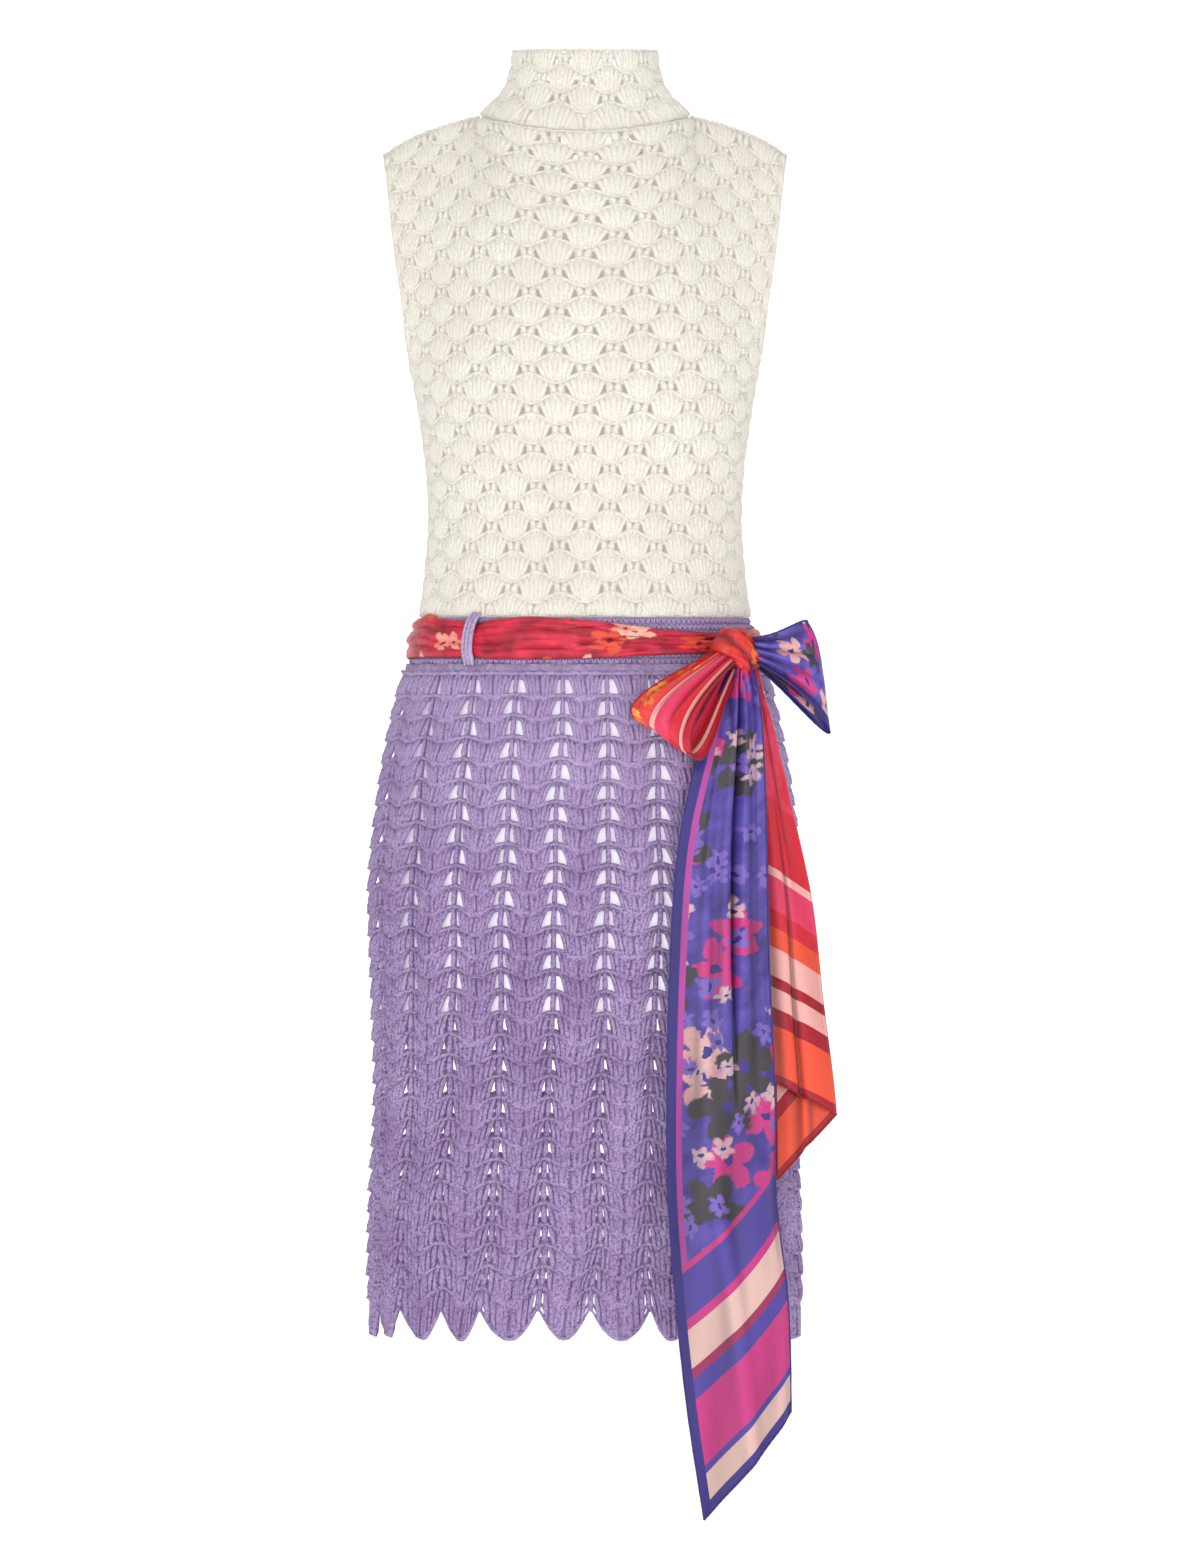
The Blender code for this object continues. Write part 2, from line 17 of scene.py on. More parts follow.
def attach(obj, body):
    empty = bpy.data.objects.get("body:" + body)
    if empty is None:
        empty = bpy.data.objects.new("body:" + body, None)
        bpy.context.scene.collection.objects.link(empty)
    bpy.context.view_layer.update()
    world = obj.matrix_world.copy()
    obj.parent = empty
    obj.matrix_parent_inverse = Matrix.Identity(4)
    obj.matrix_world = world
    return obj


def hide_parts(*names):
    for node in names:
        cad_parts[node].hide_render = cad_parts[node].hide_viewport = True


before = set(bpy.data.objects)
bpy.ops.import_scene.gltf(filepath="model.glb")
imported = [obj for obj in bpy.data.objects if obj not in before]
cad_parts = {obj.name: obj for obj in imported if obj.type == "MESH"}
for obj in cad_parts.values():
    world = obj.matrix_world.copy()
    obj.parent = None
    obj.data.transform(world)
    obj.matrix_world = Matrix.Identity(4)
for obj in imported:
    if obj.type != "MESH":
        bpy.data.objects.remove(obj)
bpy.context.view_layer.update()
print("pieces in the frame:", len(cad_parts))

# %% [markdown]
# ## The form under the cloth
# Crochet has no shape of its own: it takes the shape of the body it was sized for. So the flat work below
# is bent onto a form. That is a table of rings for the trunk, a line for the neck and shoulders, and a
# short tube for the collar. The form could be sculpted, but a table of sizes is easier to read, and it
# gives the construction's own shape.

# %% Sizes of the dress, in metres below the shoulders
UNDERARM = -0.209
WAISTBAND_TOP = -0.3863
WAISTBAND_FOOT = -0.4235
SKIRT_START = -0.4309  # foot of a plain edging under the waistband
HEM_NOTCH = -0.9270
ROUNDNESS = 2.15
SECTIONS = (  # height, half width, depth in front, depth behind
    (-0.190, 0.1318, 0.1135, 0.1004),
    (-0.209, 0.1290, 0.1130, 0.1000),
    (-0.230, 0.1256, 0.1112, 0.0982),
    (-0.254, 0.1222, 0.1045, 0.0932),
    (-0.279, 0.1196, 0.0965, 0.0878),
    (-0.3105, 0.1184, 0.091, 0.085),
    (-0.3416, 0.1204, 0.091, 0.086),
    (-0.373, 0.1238, 0.094, 0.089),
    (-0.3863, 0.1264, 0.096, 0.091),
    (-0.405, 0.1306, 0.099, 0.094),
    (-0.4235, 0.1360, 0.102, 0.098),
    (-0.451, 0.1432, 0.106, 0.104),
    (-0.4976, 0.1530, 0.110, 0.110),
    (-0.560, 0.1616, 0.113, 0.116),
    (-0.607, 0.1647, 0.114, 0.118),
    (-0.685, 0.1630, 0.114, 0.118),
    (-0.763, 0.1616, 0.114, 0.116),
    (-0.841, 0.1655, 0.116, 0.116),
    (-0.960, 0.1680, 0.118, 0.117),
)
NECK = {"half_width": 0.0815, "level": 0.0050, "centre": 0.0040, "share": 0.50}
NECK_SIDES = {"front": (-0.0740, -0.0130), "back": (0.0560, 0.0070)}  # depth, and rise at the middle
SHOULDER = {"half_width": 0.1565, "back": 0.0100, "fall": (0.0180, 0.0130)}
SCOOP = {"front": -0.042, "back": 0.046}
CHEST_ROUND = {"front": 2.1, "back": 2.5}
COLLAR = {"top": 0.0575, "half_width": 0.0535, "half_depth": 0.0500, "centre": -0.0060}
print(f"waistband {-1000 * WAISTBAND_TOP:.0f} mm down, hem {-1000 * HEM_NOTCH:.0f} mm down")

# %% A smooth curve through a table
def smooth_curve(table, at):
    """Every other column of a table at values of its first one, on a smooth curve through its rows."""
    rows = np.array(sorted(table), dtype=float)
    x, y = rows[:, 0], rows[:, 1:]
    slope = np.empty_like(y)
    slope[1:-1] = (y[2:] - y[:-2]) / (x[2:] - x[:-2])[:, None]
    slope[0] = (y[1] - y[0]) / (x[1] - x[0])
    slope[-1] = (y[-1] - y[-2]) / (x[-1] - x[-2])
    at = np.clip(np.atleast_1d(at), x[0], x[-1])
    i = np.clip(np.searchsorted(x, at, side="right") - 1, 0, len(x) - 2)
    span = (x[i + 1] - x[i])[:, None]
    t = (at[:, None] - x[i][:, None]) / span
    low = y[i] * (2 * t**3 - 3 * t**2 + 1) + slope[i] * span * (t**3 - 2 * t**2 + t)
    high = y[i + 1] * (3 * t**2 - 2 * t**3) + slope[i + 1] * span * (t**3 - t**2)
    return low + high


# %% The rings of the trunk
SHARES = np.linspace(0, 1, 97)  # places round one half of the dress, from the -X side to the +X side


def trunk(heights, side):
    """A row of evenly spaced points round one half of the trunk for each height."""
    angle = np.linspace(0, math.pi, 481)
    rows = []
    for height, (half_width, front, back) in zip(heights, smooth_curve(SECTIONS, heights)):
        x = -half_width * np.sign(np.cos(angle)) * np.abs(np.cos(angle)) ** (2 / ROUNDNESS)
        y = (-front if side == "front" else back) * np.sin(angle) ** (2 / ROUNDNESS)
        length = np.concatenate([[0], np.cumsum(np.hypot(np.diff(x), np.diff(y)))])
        at = SHARES * length[-1]
        rows.append(np.column_stack([np.interp(at, length, x), np.interp(at, length, y), 0 * at + height]))
    return np.array(rows)


hips = 2 * max(half_width for _, half_width, _, _ in SECTIONS[:-1])
print(f"hips: {1000 * hips:.0f} mm wide")

# %% The neck and shoulder line
def top_edge(across, side):
    """The top of a bodice panel, from -1 at one shoulder's tip to 1 at the other's."""
    depth, rise = NECK_SIDES[side]
    turn = 0.5 * math.pi * (1 - across / NECK["share"])
    neck_y = NECK["centre"] + depth * np.sin(turn)
    neck_z = NECK["level"] + rise * np.sin(turn) ** 2
    neck = np.column_stack([NECK["half_width"] * np.cos(turn), neck_y, neck_z])
    k = (np.abs(across) - NECK["share"]) / (1 - NECK["share"])
    x = np.sign(across) * (NECK["half_width"] + (SHOULDER["half_width"] - NECK["half_width"]) * k)
    y = NECK["centre"] + (SHOULDER["back"] - NECK["centre"]) * k
    z = NECK["level"] - SHOULDER["fall"][0] * k - SHOULDER["fall"][1] * k**3
    return np.where((k < 0)[:, None], neck, np.column_stack([x, y, z]))


print(f"shoulders: {2000 * SHOULDER['half_width']:.0f} mm from tip to tip")

# %% Points of a bodice panel
ARMHOLE_FLARE = 0.0042  # how far the armhole edges stand out beside the arm


def bodice_points(levels, side):
    """Points of a panel for levels from -1 at the waistband by 0 at the underarm to 1 at the shoulder."""
    across = 2 * SHARES - 1
    reach = np.minimum(0.24, 1 - np.abs(across))
    soft_top = sum(top_edge(across + reach * k / 3, side) for k in range(-3, 4)) / 7
    foot = trunk([UNDERARM], side)[0]
    rows = []
    for level in levels:
        if level <= 0:
            rows.append(trunk([UNDERARM + (UNDERARM - WAISTBAND_TOP) * level], side)[0])
            continue
        top = soft_top + (top_edge(across, side) - soft_top) * level**3
        row = foot + (top - foot) * level
        row[:, 1] = foot[:, 1] + (top[:, 1] - foot[:, 1]) * level ** CHEST_ROUND[side]
        row[:, 1] += SCOOP[side] * np.abs(across) ** 4 * math.sin(math.pi * level) ** 0.6
        row[:, 0] += ARMHOLE_FLARE * across**5 * math.sin(math.pi * level)
        rows.append(row)
    return np.array(rows)


# %% Points of the collar
def collar_points(rises):
    """Points of the collar, from the neck seam at 0 to its top at 1, all round by way of the front."""
    turn = 2 * math.pi * SHARES
    front = SHARES < 0.5
    depth = np.where(front, NECK_SIDES["front"][0], NECK_SIDES["back"][0])
    lift = np.where(front, NECK_SIDES["front"][1], NECK_SIDES["back"][1])
    swing = np.abs(np.sin(turn))
    base_y = NECK["centre"] + depth * swing
    base_z = NECK["level"] + lift * swing**2
    base = np.column_stack([-NECK["half_width"] * np.cos(turn), base_y, base_z])
    top_y = COLLAR["centre"] - COLLAR["half_depth"] * np.sin(turn)
    top = np.column_stack([-COLLAR["half_width"] * np.cos(turn), top_y, 0 * turn + COLLAR["top"]])
    rows = []
    for rise in rises:
        row = base + (top - base) * (1 - (1 - rise) ** 2.6)
        row[:, 2] = base[:, 2] + (top[:, 2] - base[:, 2]) * rise
        rows.append(row)
    return np.array(rows)


# %% [markdown]
# ## Bending flat work onto the form
# A crocheter works a panel flat and the body rounds it. The same order is used here: stitches are laid out
# flat, with x across in repeats, y down in rows and z for how far they stand out, and a form then moves
# every point. A lattice or a surface-deform modifier could do it, but reading a grid of points is exact
# and quick.

# %% A form that places flat points
class Form:
    """A curved sheet known on a grid: rows run down the sheet, and columns run across it."""

    def __init__(self, down, across, points):
        self.down, self.across, self.points = np.asarray(down), np.asarray(across), points
        normals = np.cross(np.gradient(points, axis=1), np.gradient(points, axis=0))
        lengths = np.linalg.norm(normals, axis=2, keepdims=True)
        normals = normals / np.maximum(lengths, 1e-12)
        middle = points.mean(axis=(0, 1)) * [0, 0, 1]
        if ((points - middle) * [1, 1, 0] * normals).sum() < 0:
            normals = -normals
        self.normals = normals
        self.area = 0.5 * (lengths[1:, 1:] + lengths[:-1, :-1]).sum()

    def place(self, across, down, out):
        """Points at places across and down the sheet, lifted off it by a distance."""
        corners = []
        for lines, at in ((self.across, across), (self.down, down)):
            i = np.clip(np.searchsorted(lines, at, side="right") - 1, 0, len(lines) - 2)
            corners.append((i, (at - lines[i]) / (lines[i + 1] - lines[i])))
        (i, s), (j, t) = corners
        s, t = s[:, None], t[:, None]

        def read(grid):
            upper = grid[j, i] * (1 - s) + grid[j, i + 1] * s
            lower = grid[j + 1, i] * (1 - s) + grid[j + 1, i + 1] * s
            return upper * (1 - t) + lower * t

        normal = read(self.normals)
        normal /= np.linalg.norm(normal, axis=1, keepdims=True)
        return read(self.points) + normal * np.asarray(out)[:, None]


# %% The forms of the panels
BODICE_ROWS = 26
COLLAR_ROWS = 4
BODICE_FORMS = {}
for side in ("front", "back"):
    levels = np.concatenate([np.linspace(0.9985, 0.02, 60), np.linspace(0, -0.998, 40)])
    points = bodice_points(levels, side)
    steps = np.linalg.norm(np.diff(points[:, 30], axis=0), axis=1)
    length = np.concatenate([[0], np.cumsum(steps)])
    BODICE_FORMS[side] = Form(length / length[-1] * BODICE_ROWS, SHARES, points)
    print(f"bodice {side}: {length[-1] * 1000:.0f} mm from shoulder to waistband")
drops = np.linspace(0.380, 0.965, 120)
SKIRT_FORMS = {side: Form(drops, SHARES, trunk(-drops, side)) for side in ("front", "back")}
COLLAR_FORM = Form(np.linspace(0, COLLAR_ROWS, 30), SHARES, collar_points(np.linspace(1, 0.012, 30)))
rings = [np.concatenate([trunk([-d], "front")[0][:-1], trunk([-d], "back")[0][::-1]]) for d in drops]
AROUND_FORM = Form(drops, np.linspace(0, 1, 2 * len(SHARES) - 1), np.array(rings))
print(f"collar: {1e4 * COLLAR_FORM.area:.0f} square centimetres of cloth")

# %% [markdown]
# ## Finishes
# The yarn is a matt cotton, fuzzy up close. Its finish is a Principled shader with two sizes of noise in
# its colour, a fine fibre bump and a soft sheen. The noise could be painted by hand, but a procedural one
# follows every strand and needs no picture. Colours are written as they look on a screen, and turned into
# the linear values that the shader takes.

# %% A colour as the shader takes it
def paint(hex_colour):
    """A colour as it looks on a screen, as the linear values that a shader takes."""
    values = [int(hex_colour[k : k + 2], 16) / 255 for k in (0, 2, 4)]
    return tuple(v / 12.92 if v <= 0.04045 else ((v + 0.055) / 1.055) ** 2.4 for v in values) + (1.0,)


# %% A material that is easy to add nodes to
class Finish:
    """A material with a short way to add nodes to it."""

    def __init__(self, name, roughness, sheen=0.0):
        self.material = bpy.data.materials.new(name)
        self.material.use_nodes = True
        self.tree = self.material.node_tree
        self.shader = self.tree.nodes["Principled BSDF"]
        self.shader.inputs["Roughness"].default_value = roughness
        self.shader.inputs["Sheen Weight"].default_value = sheen
        self.shader.inputs["Sheen Roughness"].default_value = 0.5
        self.shader.inputs["Specular IOR Level"].default_value = 0.3

    def add(self, kind, inputs=None, **settings):
        node = self.tree.nodes.new(kind)
        for key, value in settings.items():
            setattr(node, key, value)
        for key, value in (inputs or {}).items():
            if isinstance(value, bpy.types.NodeSocket):
                self.tree.links.new(value, node.inputs[key])
            else:
                node.inputs[key].default_value = value
        return node

    def maths(self, operation, a, b=0.0, c=0.0):
        return self.add("ShaderNodeMath", {0: a, 1: b, 2: c}, operation=operation).outputs[0]

    def mixed(self, share, a, b):
        mix = self.add("ShaderNodeMix", data_type="RGBA")
        for key, value in ((0, share), (6, a), (7, b)):
            if isinstance(value, bpy.types.NodeSocket):
                self.tree.links.new(value, mix.inputs[key])
            else:
                mix.inputs[key].default_value = value
        return mix.outputs[2]

    def colour(self, socket):
        self.tree.links.new(socket, self.shader.inputs["Base Color"])

    def bump(self, height, distance, strength=1.0):
        made = self.add("ShaderNodeBump", {"Height": height, "Distance": distance, "Strength": strength})
        self.tree.links.new(made.outputs[0], self.shader.inputs["Normal"])


# %% Cotton yarn in cream and lilac
def yarn_finish(name, base, light, dark, sheen=0.12, paler=0.0):
    """Yarn whose colour drifts over the panel and from strand to strand, and can be paler near the waist."""
    made = Finish(name, 0.88, sheen=sheen)
    place = made.add("ShaderNodeTexCoord").outputs["Object"]
    drift, strand, fibre = (
        made.add("ShaderNodeTexNoise", {"Vector": place, "Scale": scale, "Detail": detail}).outputs["Fac"]
        for scale, detail in ((22.0, 2.0), (560.0, 3.0), (2600.0, 2.0))
    )
    drifted = made.mixed(made.maths("MULTIPLY_ADD", drift, 2.4, -0.7), paint(base), paint(light))
    grain = made.add("ShaderNodeClamp", {0: made.maths("MULTIPLY_ADD", strand, -4.5, 2.45)}).outputs[0]
    grained = made.mixed(grain, drifted, paint(dark))
    level = made.add("ShaderNodeSeparateXYZ", {0: place}).outputs[2]
    high = made.add("ShaderNodeClamp", {0: made.maths("MULTIPLY_ADD", level, 5.0, 3.2)}).outputs[0]
    made.colour(made.mixed(made.maths("MULTIPLY", high, paler), grained, paint(light)))
    made.bump(made.maths("MULTIPLY_ADD", strand, 0.6, made.maths("MULTIPLY", fibre, 0.4)), 0.0012, 0.8)
    return made.material


# %% The three yarns
CREAM = yarn_finish("cream_yarn", "D3CFC5", "DBD8D0", "C9C2B6", sheen=0.22)
painted_glow = CREAM.node_tree.nodes["Principled BSDF"].inputs  # painted glow: emission lifts the shade in the slits, in place of light that comes through pale cotton from behind
painted_glow["Emission Color"].default_value = paint("F1ECE1")
painted_glow["Emission Strength"].default_value = 0.21
LILAC = yarn_finish("lilac_yarn", "9F87B3", "B8A4CC", "6F538E", paler=0.42)
PALE_LILAC = yarn_finish("pale_lilac_yarn", "B7A6C6", "CBBDD6", "9A87B0")
print("yarns:", CREAM.name, LILAC.name, PALE_LILAC.name)

# %% [markdown]
# ## Stitches
# A crochet stitch is a few posts of yarn with a chain along their tops. One repeat of a row is modelled
# from short tubes, each a ring of edges extruded from point to point. Array modifiers repeat it across the
# row and down the panel. Curves with a bevel would also do, but a joined mesh can be bent onto the form in
# one move.

# %% A length of yarn
YARN_SIDES = 5


def yarn(work, points, radii):
    """Adds one length of yarn: a ring of edges extruded from point to point."""
    points = [Vector(p) for p in points]
    ring = bmesh.ops.create_circle(work, cap_ends=True, segments=YARN_SIDES, radius=radii[0])["verts"]
    edges = list({edge for vert in ring for edge in vert.link_edges})
    heading, centre = Vector((0, 0, 1)), Vector()
    for k, point in enumerate(points):
        ahead = points[min(k + 1, len(points) - 1)] - points[max(k - 1, 0)]
        if k:
            grown = bmesh.ops.extrude_edge_only(work, edges=edges)["geom"]
            ring = [item for item in grown if isinstance(item, bmesh.types.BMVert)]
            fresh = set(ring)
            edges = [e for e in grown if isinstance(e, bmesh.types.BMEdge) and set(e.verts) <= fresh]
        move = heading.rotation_difference(ahead).to_matrix() * (radii[k] / radii[max(k - 1, 0)])
        for vert in ring:
            vert.co = point + move @ (vert.co - centre)
        heading, centre = ahead, point
    bmesh.ops.contextual_create(work, geom=edges)


def as_mesh(work, name, outwards=False):
    """The mesh of a finished bmesh, with its faces turned outwards where it is a closed shape."""
    if outwards:
        bmesh.ops.recalc_face_normals(work, faces=work.faces[:])
    mesh = bpy.data.meshes.new(name)
    work.to_mesh(mesh)
    work.free()
    return mesh


# %% One repeat of a row
BODICE_REPEAT = (0.0385, 0.0155)  # width and height of a repeat as worked
SKIRT_REPEAT = (0.0403, 0.01642)


def row_of_posts(repeat, posts, post_radius, chain_radius, domed=0.0009):
    """One repeat: posts given by their top, foot and how soon they reach it, under a chain of eight links."""
    width, height = repeat
    work = bmesh.new()
    levels = ((0.06, 0.3), (0.35, 1.0), (0.66, 1.0), (0.97, 0.2))  # share of the way down, share of the dome
    for k, (top, foot, soon) in enumerate(posts):
        spots = []
        for down, lift in levels:
            spots.append((width * (top + (foot - top) * down**soon), -height * down, 0.0008 + domed * lift))
        bumps = (0.80, 1.16, 0.90, 0.78) if k % 2 else (0.84, 0.90, 1.16, 0.80)
        yarn(work, spots, [post_radius * bump for bump in bumps])
    links = 8
    spots = [(width * k / links, 0.0003 * (-1) ** k, 0.0017 + 0.0003 * (-1) ** k) for k in range(links + 1)]
    yarn(work, spots, [chain_radius * (1.0 + 0.16 * (-1) ** k) for k in range(links + 1)])
    return work


print(f"bodice repeat: {1000 * BODICE_REPEAT[0]:.1f} mm, skirt repeat: {1000 * SKIRT_REPEAT[0]:.1f} mm")

# %% A panel of repeats
def repeated(work, name, columns, rows, across, down):
    """Repeats a unit with two Array modifiers and gives back the flat panel as a mesh."""
    unit = bpy.data.objects.new(name, as_mesh(work, name, outwards=True))
    bpy.context.scene.collection.objects.link(unit)
    for count, offset in ((columns, (across, 0, 0)), (rows, (0, -down, 0))):
        array = unit.modifiers.new("repeat", "ARRAY")
        array.use_relative_offset = False
        array.use_constant_offset = True
        array.constant_offset_displace = offset
        array.count = count
    panel = bpy.data.meshes.new_from_object(unit.evaluated_get(bpy.context.evaluated_depsgraph_get()))
    bpy.data.objects.remove(unit)
    return panel


def joined(name, parts, finish):
    """One object from several meshes, each a mesh alone or a mesh and how far it is moved."""
    work = bmesh.new()
    for part in parts:
        mesh, offset = part if isinstance(part, tuple) else (part, (0, 0, 0))
        mesh.transform(Matrix.Translation(offset))
        work.from_mesh(mesh)
    mesh = as_mesh(work, name)
    mesh.materials.append(finish)
    mesh.shade_smooth()
    made = bpy.data.objects.new(name, mesh)
    bpy.context.scene.collection.objects.link(made)
    return made


# %% Bending, thickening and placing a piece
def flat_places(piece):
    """The x, y and z of every point of a piece before it is moved."""
    flat = np.empty(3 * len(piece.data.vertices))
    piece.data.vertices.foreach_get("co", flat)
    return flat.reshape(-1, 3).T


def bent(piece, bend, turned=False):
    """Moves every point of a flat piece by a function of x, y and z. A back panel's faces are turned."""
    placed = bend(*flat_places(piece))
    piece.data.vertices.foreach_set("co", placed.ravel())
    if turned:
        piece.data.flip_normals()
    piece.data.update()
    return piece


def thickened(piece, thickness, offset):
    """A wall of the given thickness: offset -1 puts it all behind the sheet, and 0 half on each side."""
    wall = piece.modifiers.new("thickness", "SOLIDIFY")
    wall.thickness = thickness
    wall.offset = offset
    return piece


def dressed(pieces, node):
    """The pieces stand for a node of the construction model, and ride on the dress with it."""
    for piece in pieces:
        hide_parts(node)
        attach(piece, "root")


# %% What makes hand work uneven
def fuzzy(points, reach=0.00022):
    """Small bumps a millimetre or two apart, as yarn has where its plies cross."""
    x, y, z = points.T * 1000
    bump = np.sin(2.9 * x + 1.7 * z) * np.sin(2.3 * z - 1.1 * y + 0.7)
    bump += np.sin(4.1 * z + 1.3 * x) * np.sin(3.7 * x)
    return points + reach * np.column_stack([bump, np.roll(bump, 1), np.roll(bump, 2)])


def uneven(a, b, reach):
    """A slow, repeatable drift of about plus or minus reach: hand work is never quite even."""
    wave = np.sin(1.31 * a + 0.73 * b + 0.4) + np.sin(-0.57 * a + 1.93 * b + 2.1)
    wave = wave + np.sin(2.77 * a - 1.19 * b)
    return reach * wave / 2


# %% [markdown]
# ## The net bodice
# The bodice is a fan and V stitch: fans of seven posts from one foot, with a V of two posts between them,
# and each row set half a repeat on from the last. The fans' tops arch up into the row above, so what is
# left of the net is a pair of slits beside each V. A thin ground sheet with the same slits carries the
# yarn and stops the light. The net could be painted on a plain sheet, but real slits show depth and shadow
# from every side.

# %% Fans and Vs
FAN_ARCH = 0.0046
FAN_TOPS = (-0.345, -0.23, -0.115, 0.0, 0.115, 0.23, 0.345)  # posts of a fan, from its middle
VEE_TOPS = (-0.088, 0.088)
BODICE_POST, BODICE_CHAIN = 0.0021, 0.0014  # radii


def fan_and_vee(fan, vee):
    """The posts of one repeat with a fan at one place and a V at another, carried over its edge."""
    posts = [(fan + top, fan + 0.55 * top, 0.9) for top in FAN_TOPS]
    posts += [(vee + top, vee + 0.56 * top, 1.0) for top in VEE_TOPS]
    return [(top - math.floor(top), foot - math.floor(top), soon) for top, foot, soon in posts]


print("posts in a repeat:", len(fan_and_vee(0.5, 0.0)))

# %% How the rows lie on the form
def net_rows(repeats, rows, start=0, fade=1.5):
    """Places across from 0 to 1, and rows down with the fans' arches, for a flat place on the panel."""
    width, height = BODICE_REPEAT

    def lay(x, y):
        across, down = x / width, -y / height
        row = np.floor(down)
        crest = np.where((row + start) % 2 == 0, 0.5, 0.0)
        edge = np.clip(np.minimum(down, rows - down) * fade, 0, 1)
        lift = FAN_ARCH / height * np.cos(2 * math.pi * (across - crest)) * (1 - 2 * (down - row)) * edge
        held = np.sin(math.pi * np.clip(across / repeats, 0, 1))
        across = across + uneven(across * 0.9, down * 0.7, 0.030) * held
        down = down - lift + uneven(across * 0.5, down * 0.4 + 3, 0.10) * edge
        return np.clip(across / repeats, 0, 1), np.clip(down, 0, rows)

    return lay


# %% The slits of the ground sheet
SLIT_ROWS = (0, 0.10, 0.38, 0.66, 0.94)
EYE = 0.032  # half the gap inside a V, as a share of the repeat
SLIT_START = 0.12


def slit_reach(down):
    """How far from the middle of the V the slit reaches, which is the near side of the fan."""
    fan_side = 0.5 - 0.345 * (1 - 0.45 * down**0.9)
    return max(fan_side - 0.030, 0.125)


def slit_lines(odd, down):
    """Where the ten columns of a repeat stand at a height in a row: the eye, the V, the slit and the fan."""
    reach = slit_reach(down)
    half = (EYE, 0.13, 0.5 * (SLIT_START + reach), reach)
    if odd:
        half = tuple(0.5 - line for line in reversed(half))
    return (0,) + half + (0.5,) + tuple(1 - line for line in reversed(half))


def in_a_gap(middle, rows, start):
    """Whether a face of the ground, known by its middle, lies in a slit beside a V or in the V's eye."""
    width, height = BODICE_REPEAT
    row = int(-middle.y / height)
    off = (middle.x / width + 0.5 * ((row + start) % 2)) % 1
    off = min(off, 1 - off)
    q = (-middle.y / height) % 1
    slit = SLIT_START < off < slit_reach(q) and SLIT_ROWS[2] < q < SLIT_ROWS[4] and row < rows - 1
    return slit or (off < EYE and SLIT_ROWS[1] < q < SLIT_ROWS[2])


# %% The ground sheet
NO_FACE = 1e-9  # square metres: a face as small as this has closed up


def net_ground(repeats, rows, start):
    """A flat sheet of grid faces with the slits beside the Vs and the eyes inside them left out."""
    width, height = BODICE_REPEAT
    down = [(k, line) for k in range(rows) for line in SLIT_ROWS] + [(rows, 0)]
    sheet = bmesh.new()
    cells = repeats * 10
    bmesh.ops.create_grid(sheet, x_segments=cells, y_segments=len(down) - 1, size=0.5)
    for vert in sheet.verts:
        k, column = divmod(round((vert.co.x + 0.5) * cells), 10)
        row, q = down[round((0.5 - vert.co.y) * (len(down) - 1))]
        odd = (row + start) % 2
        line = slit_lines(odd, q)[column]
        full = math.sin(math.pi * (line + 0.5 * odd)) ** 2
        vert.co = (width * (k + line), -height * (row + q), 0.0007 + 0.0018 * full)
    gaps = []
    for face in sheet.faces:
        if in_a_gap(face.calc_center_median(), rows, start) or face.calc_area() < NO_FACE:
            gaps.append(face)
    bmesh.ops.delete(sheet, geom=gaps, context="FACES")
    return as_mesh(sheet, "net")


# %% Chains along the edges of a panel
def edging(length, at, rows, radius, step=0.33):
    """A chain worked down one side of a flat panel."""
    work = bmesh.new()
    stops = int(rows / step) + 1
    spots = [(at, -length * rows * k / (stops - 1), 0.0012 + 0.0003 * (-1) ** k) for k in range(stops)]
    yarn(work, spots, [radius * (1 + 0.15 * (-1) ** k) for k in range(stops)])
    return as_mesh(work, "edging", outwards=True)


def foot_chain(length, at, stops, radius):
    """A chain worked along the foot of a flat panel."""
    work = bmesh.new()
    spots = [(length * k / stops, at, 0.0012 + 0.0003 * (-1) ** k) for k in range(stops + 1)]
    yarn(work, spots, [radius + 0.0002 * (-1) ** k for k in range(stops + 1)])
    return as_mesh(work, "foot_chain", outwards=True)


# %% The yarn of a net panel
GROUND = 0.0006  # thickness of the ground sheets


def net_yarn(name, repeats, rows, start, open_sides):
    """The rows of fans and Vs laid flat, with a chain down each open side or along the foot of a ring."""
    width, height = BODICE_REPEAT
    parts = []
    for odd, (fan, vee) in enumerate(((0.5, 0.0), (0.0, 0.5))):
        unit = row_of_posts(BODICE_REPEAT, fan_and_vee(fan, vee), BODICE_POST, BODICE_CHAIN)
        part = repeated(unit, "rows", repeats, rows // 2, width, 2 * height)
        parts.append((part, (0, -height * ((odd + start) % 2), 0)))
    if open_sides:
        parts += [edging(height, width * k * repeats, rows, 0.0015) for k in (0, 1)]
    else:
        parts.append((foot_chain(width * repeats, -height * rows, 10 * repeats, 0.0017), (0, 0, -0.0012)))
    return joined(name + "_stitches", parts, CREAM)


# %% A net panel
def net_panel(name, repeats, rows, form, node, start=0, open_sides=True):
    """The yarn and the ground of one fan and V panel, bent onto its form."""
    stitches = net_yarn(name, repeats, rows, start, open_sides)
    ground = thickened(joined(name + "_ground", [net_ground(repeats, rows, start)], CREAM), GROUND, -1)
    lay = net_rows(repeats, rows, start)

    def bend(x, y, z):
        across, down = lay(x, y)
        return fuzzy(form.place(across, down, z + 0.0006))

    for piece in (stitches, ground):
        bent(piece, bend, turned=node.endswith("back"))
    dressed((stitches, ground), node)
    print(f"{name}: {repeats} repeats by {rows} rows, {len(stitches.data.polygons)} faces of yarn")
    return stitches, ground


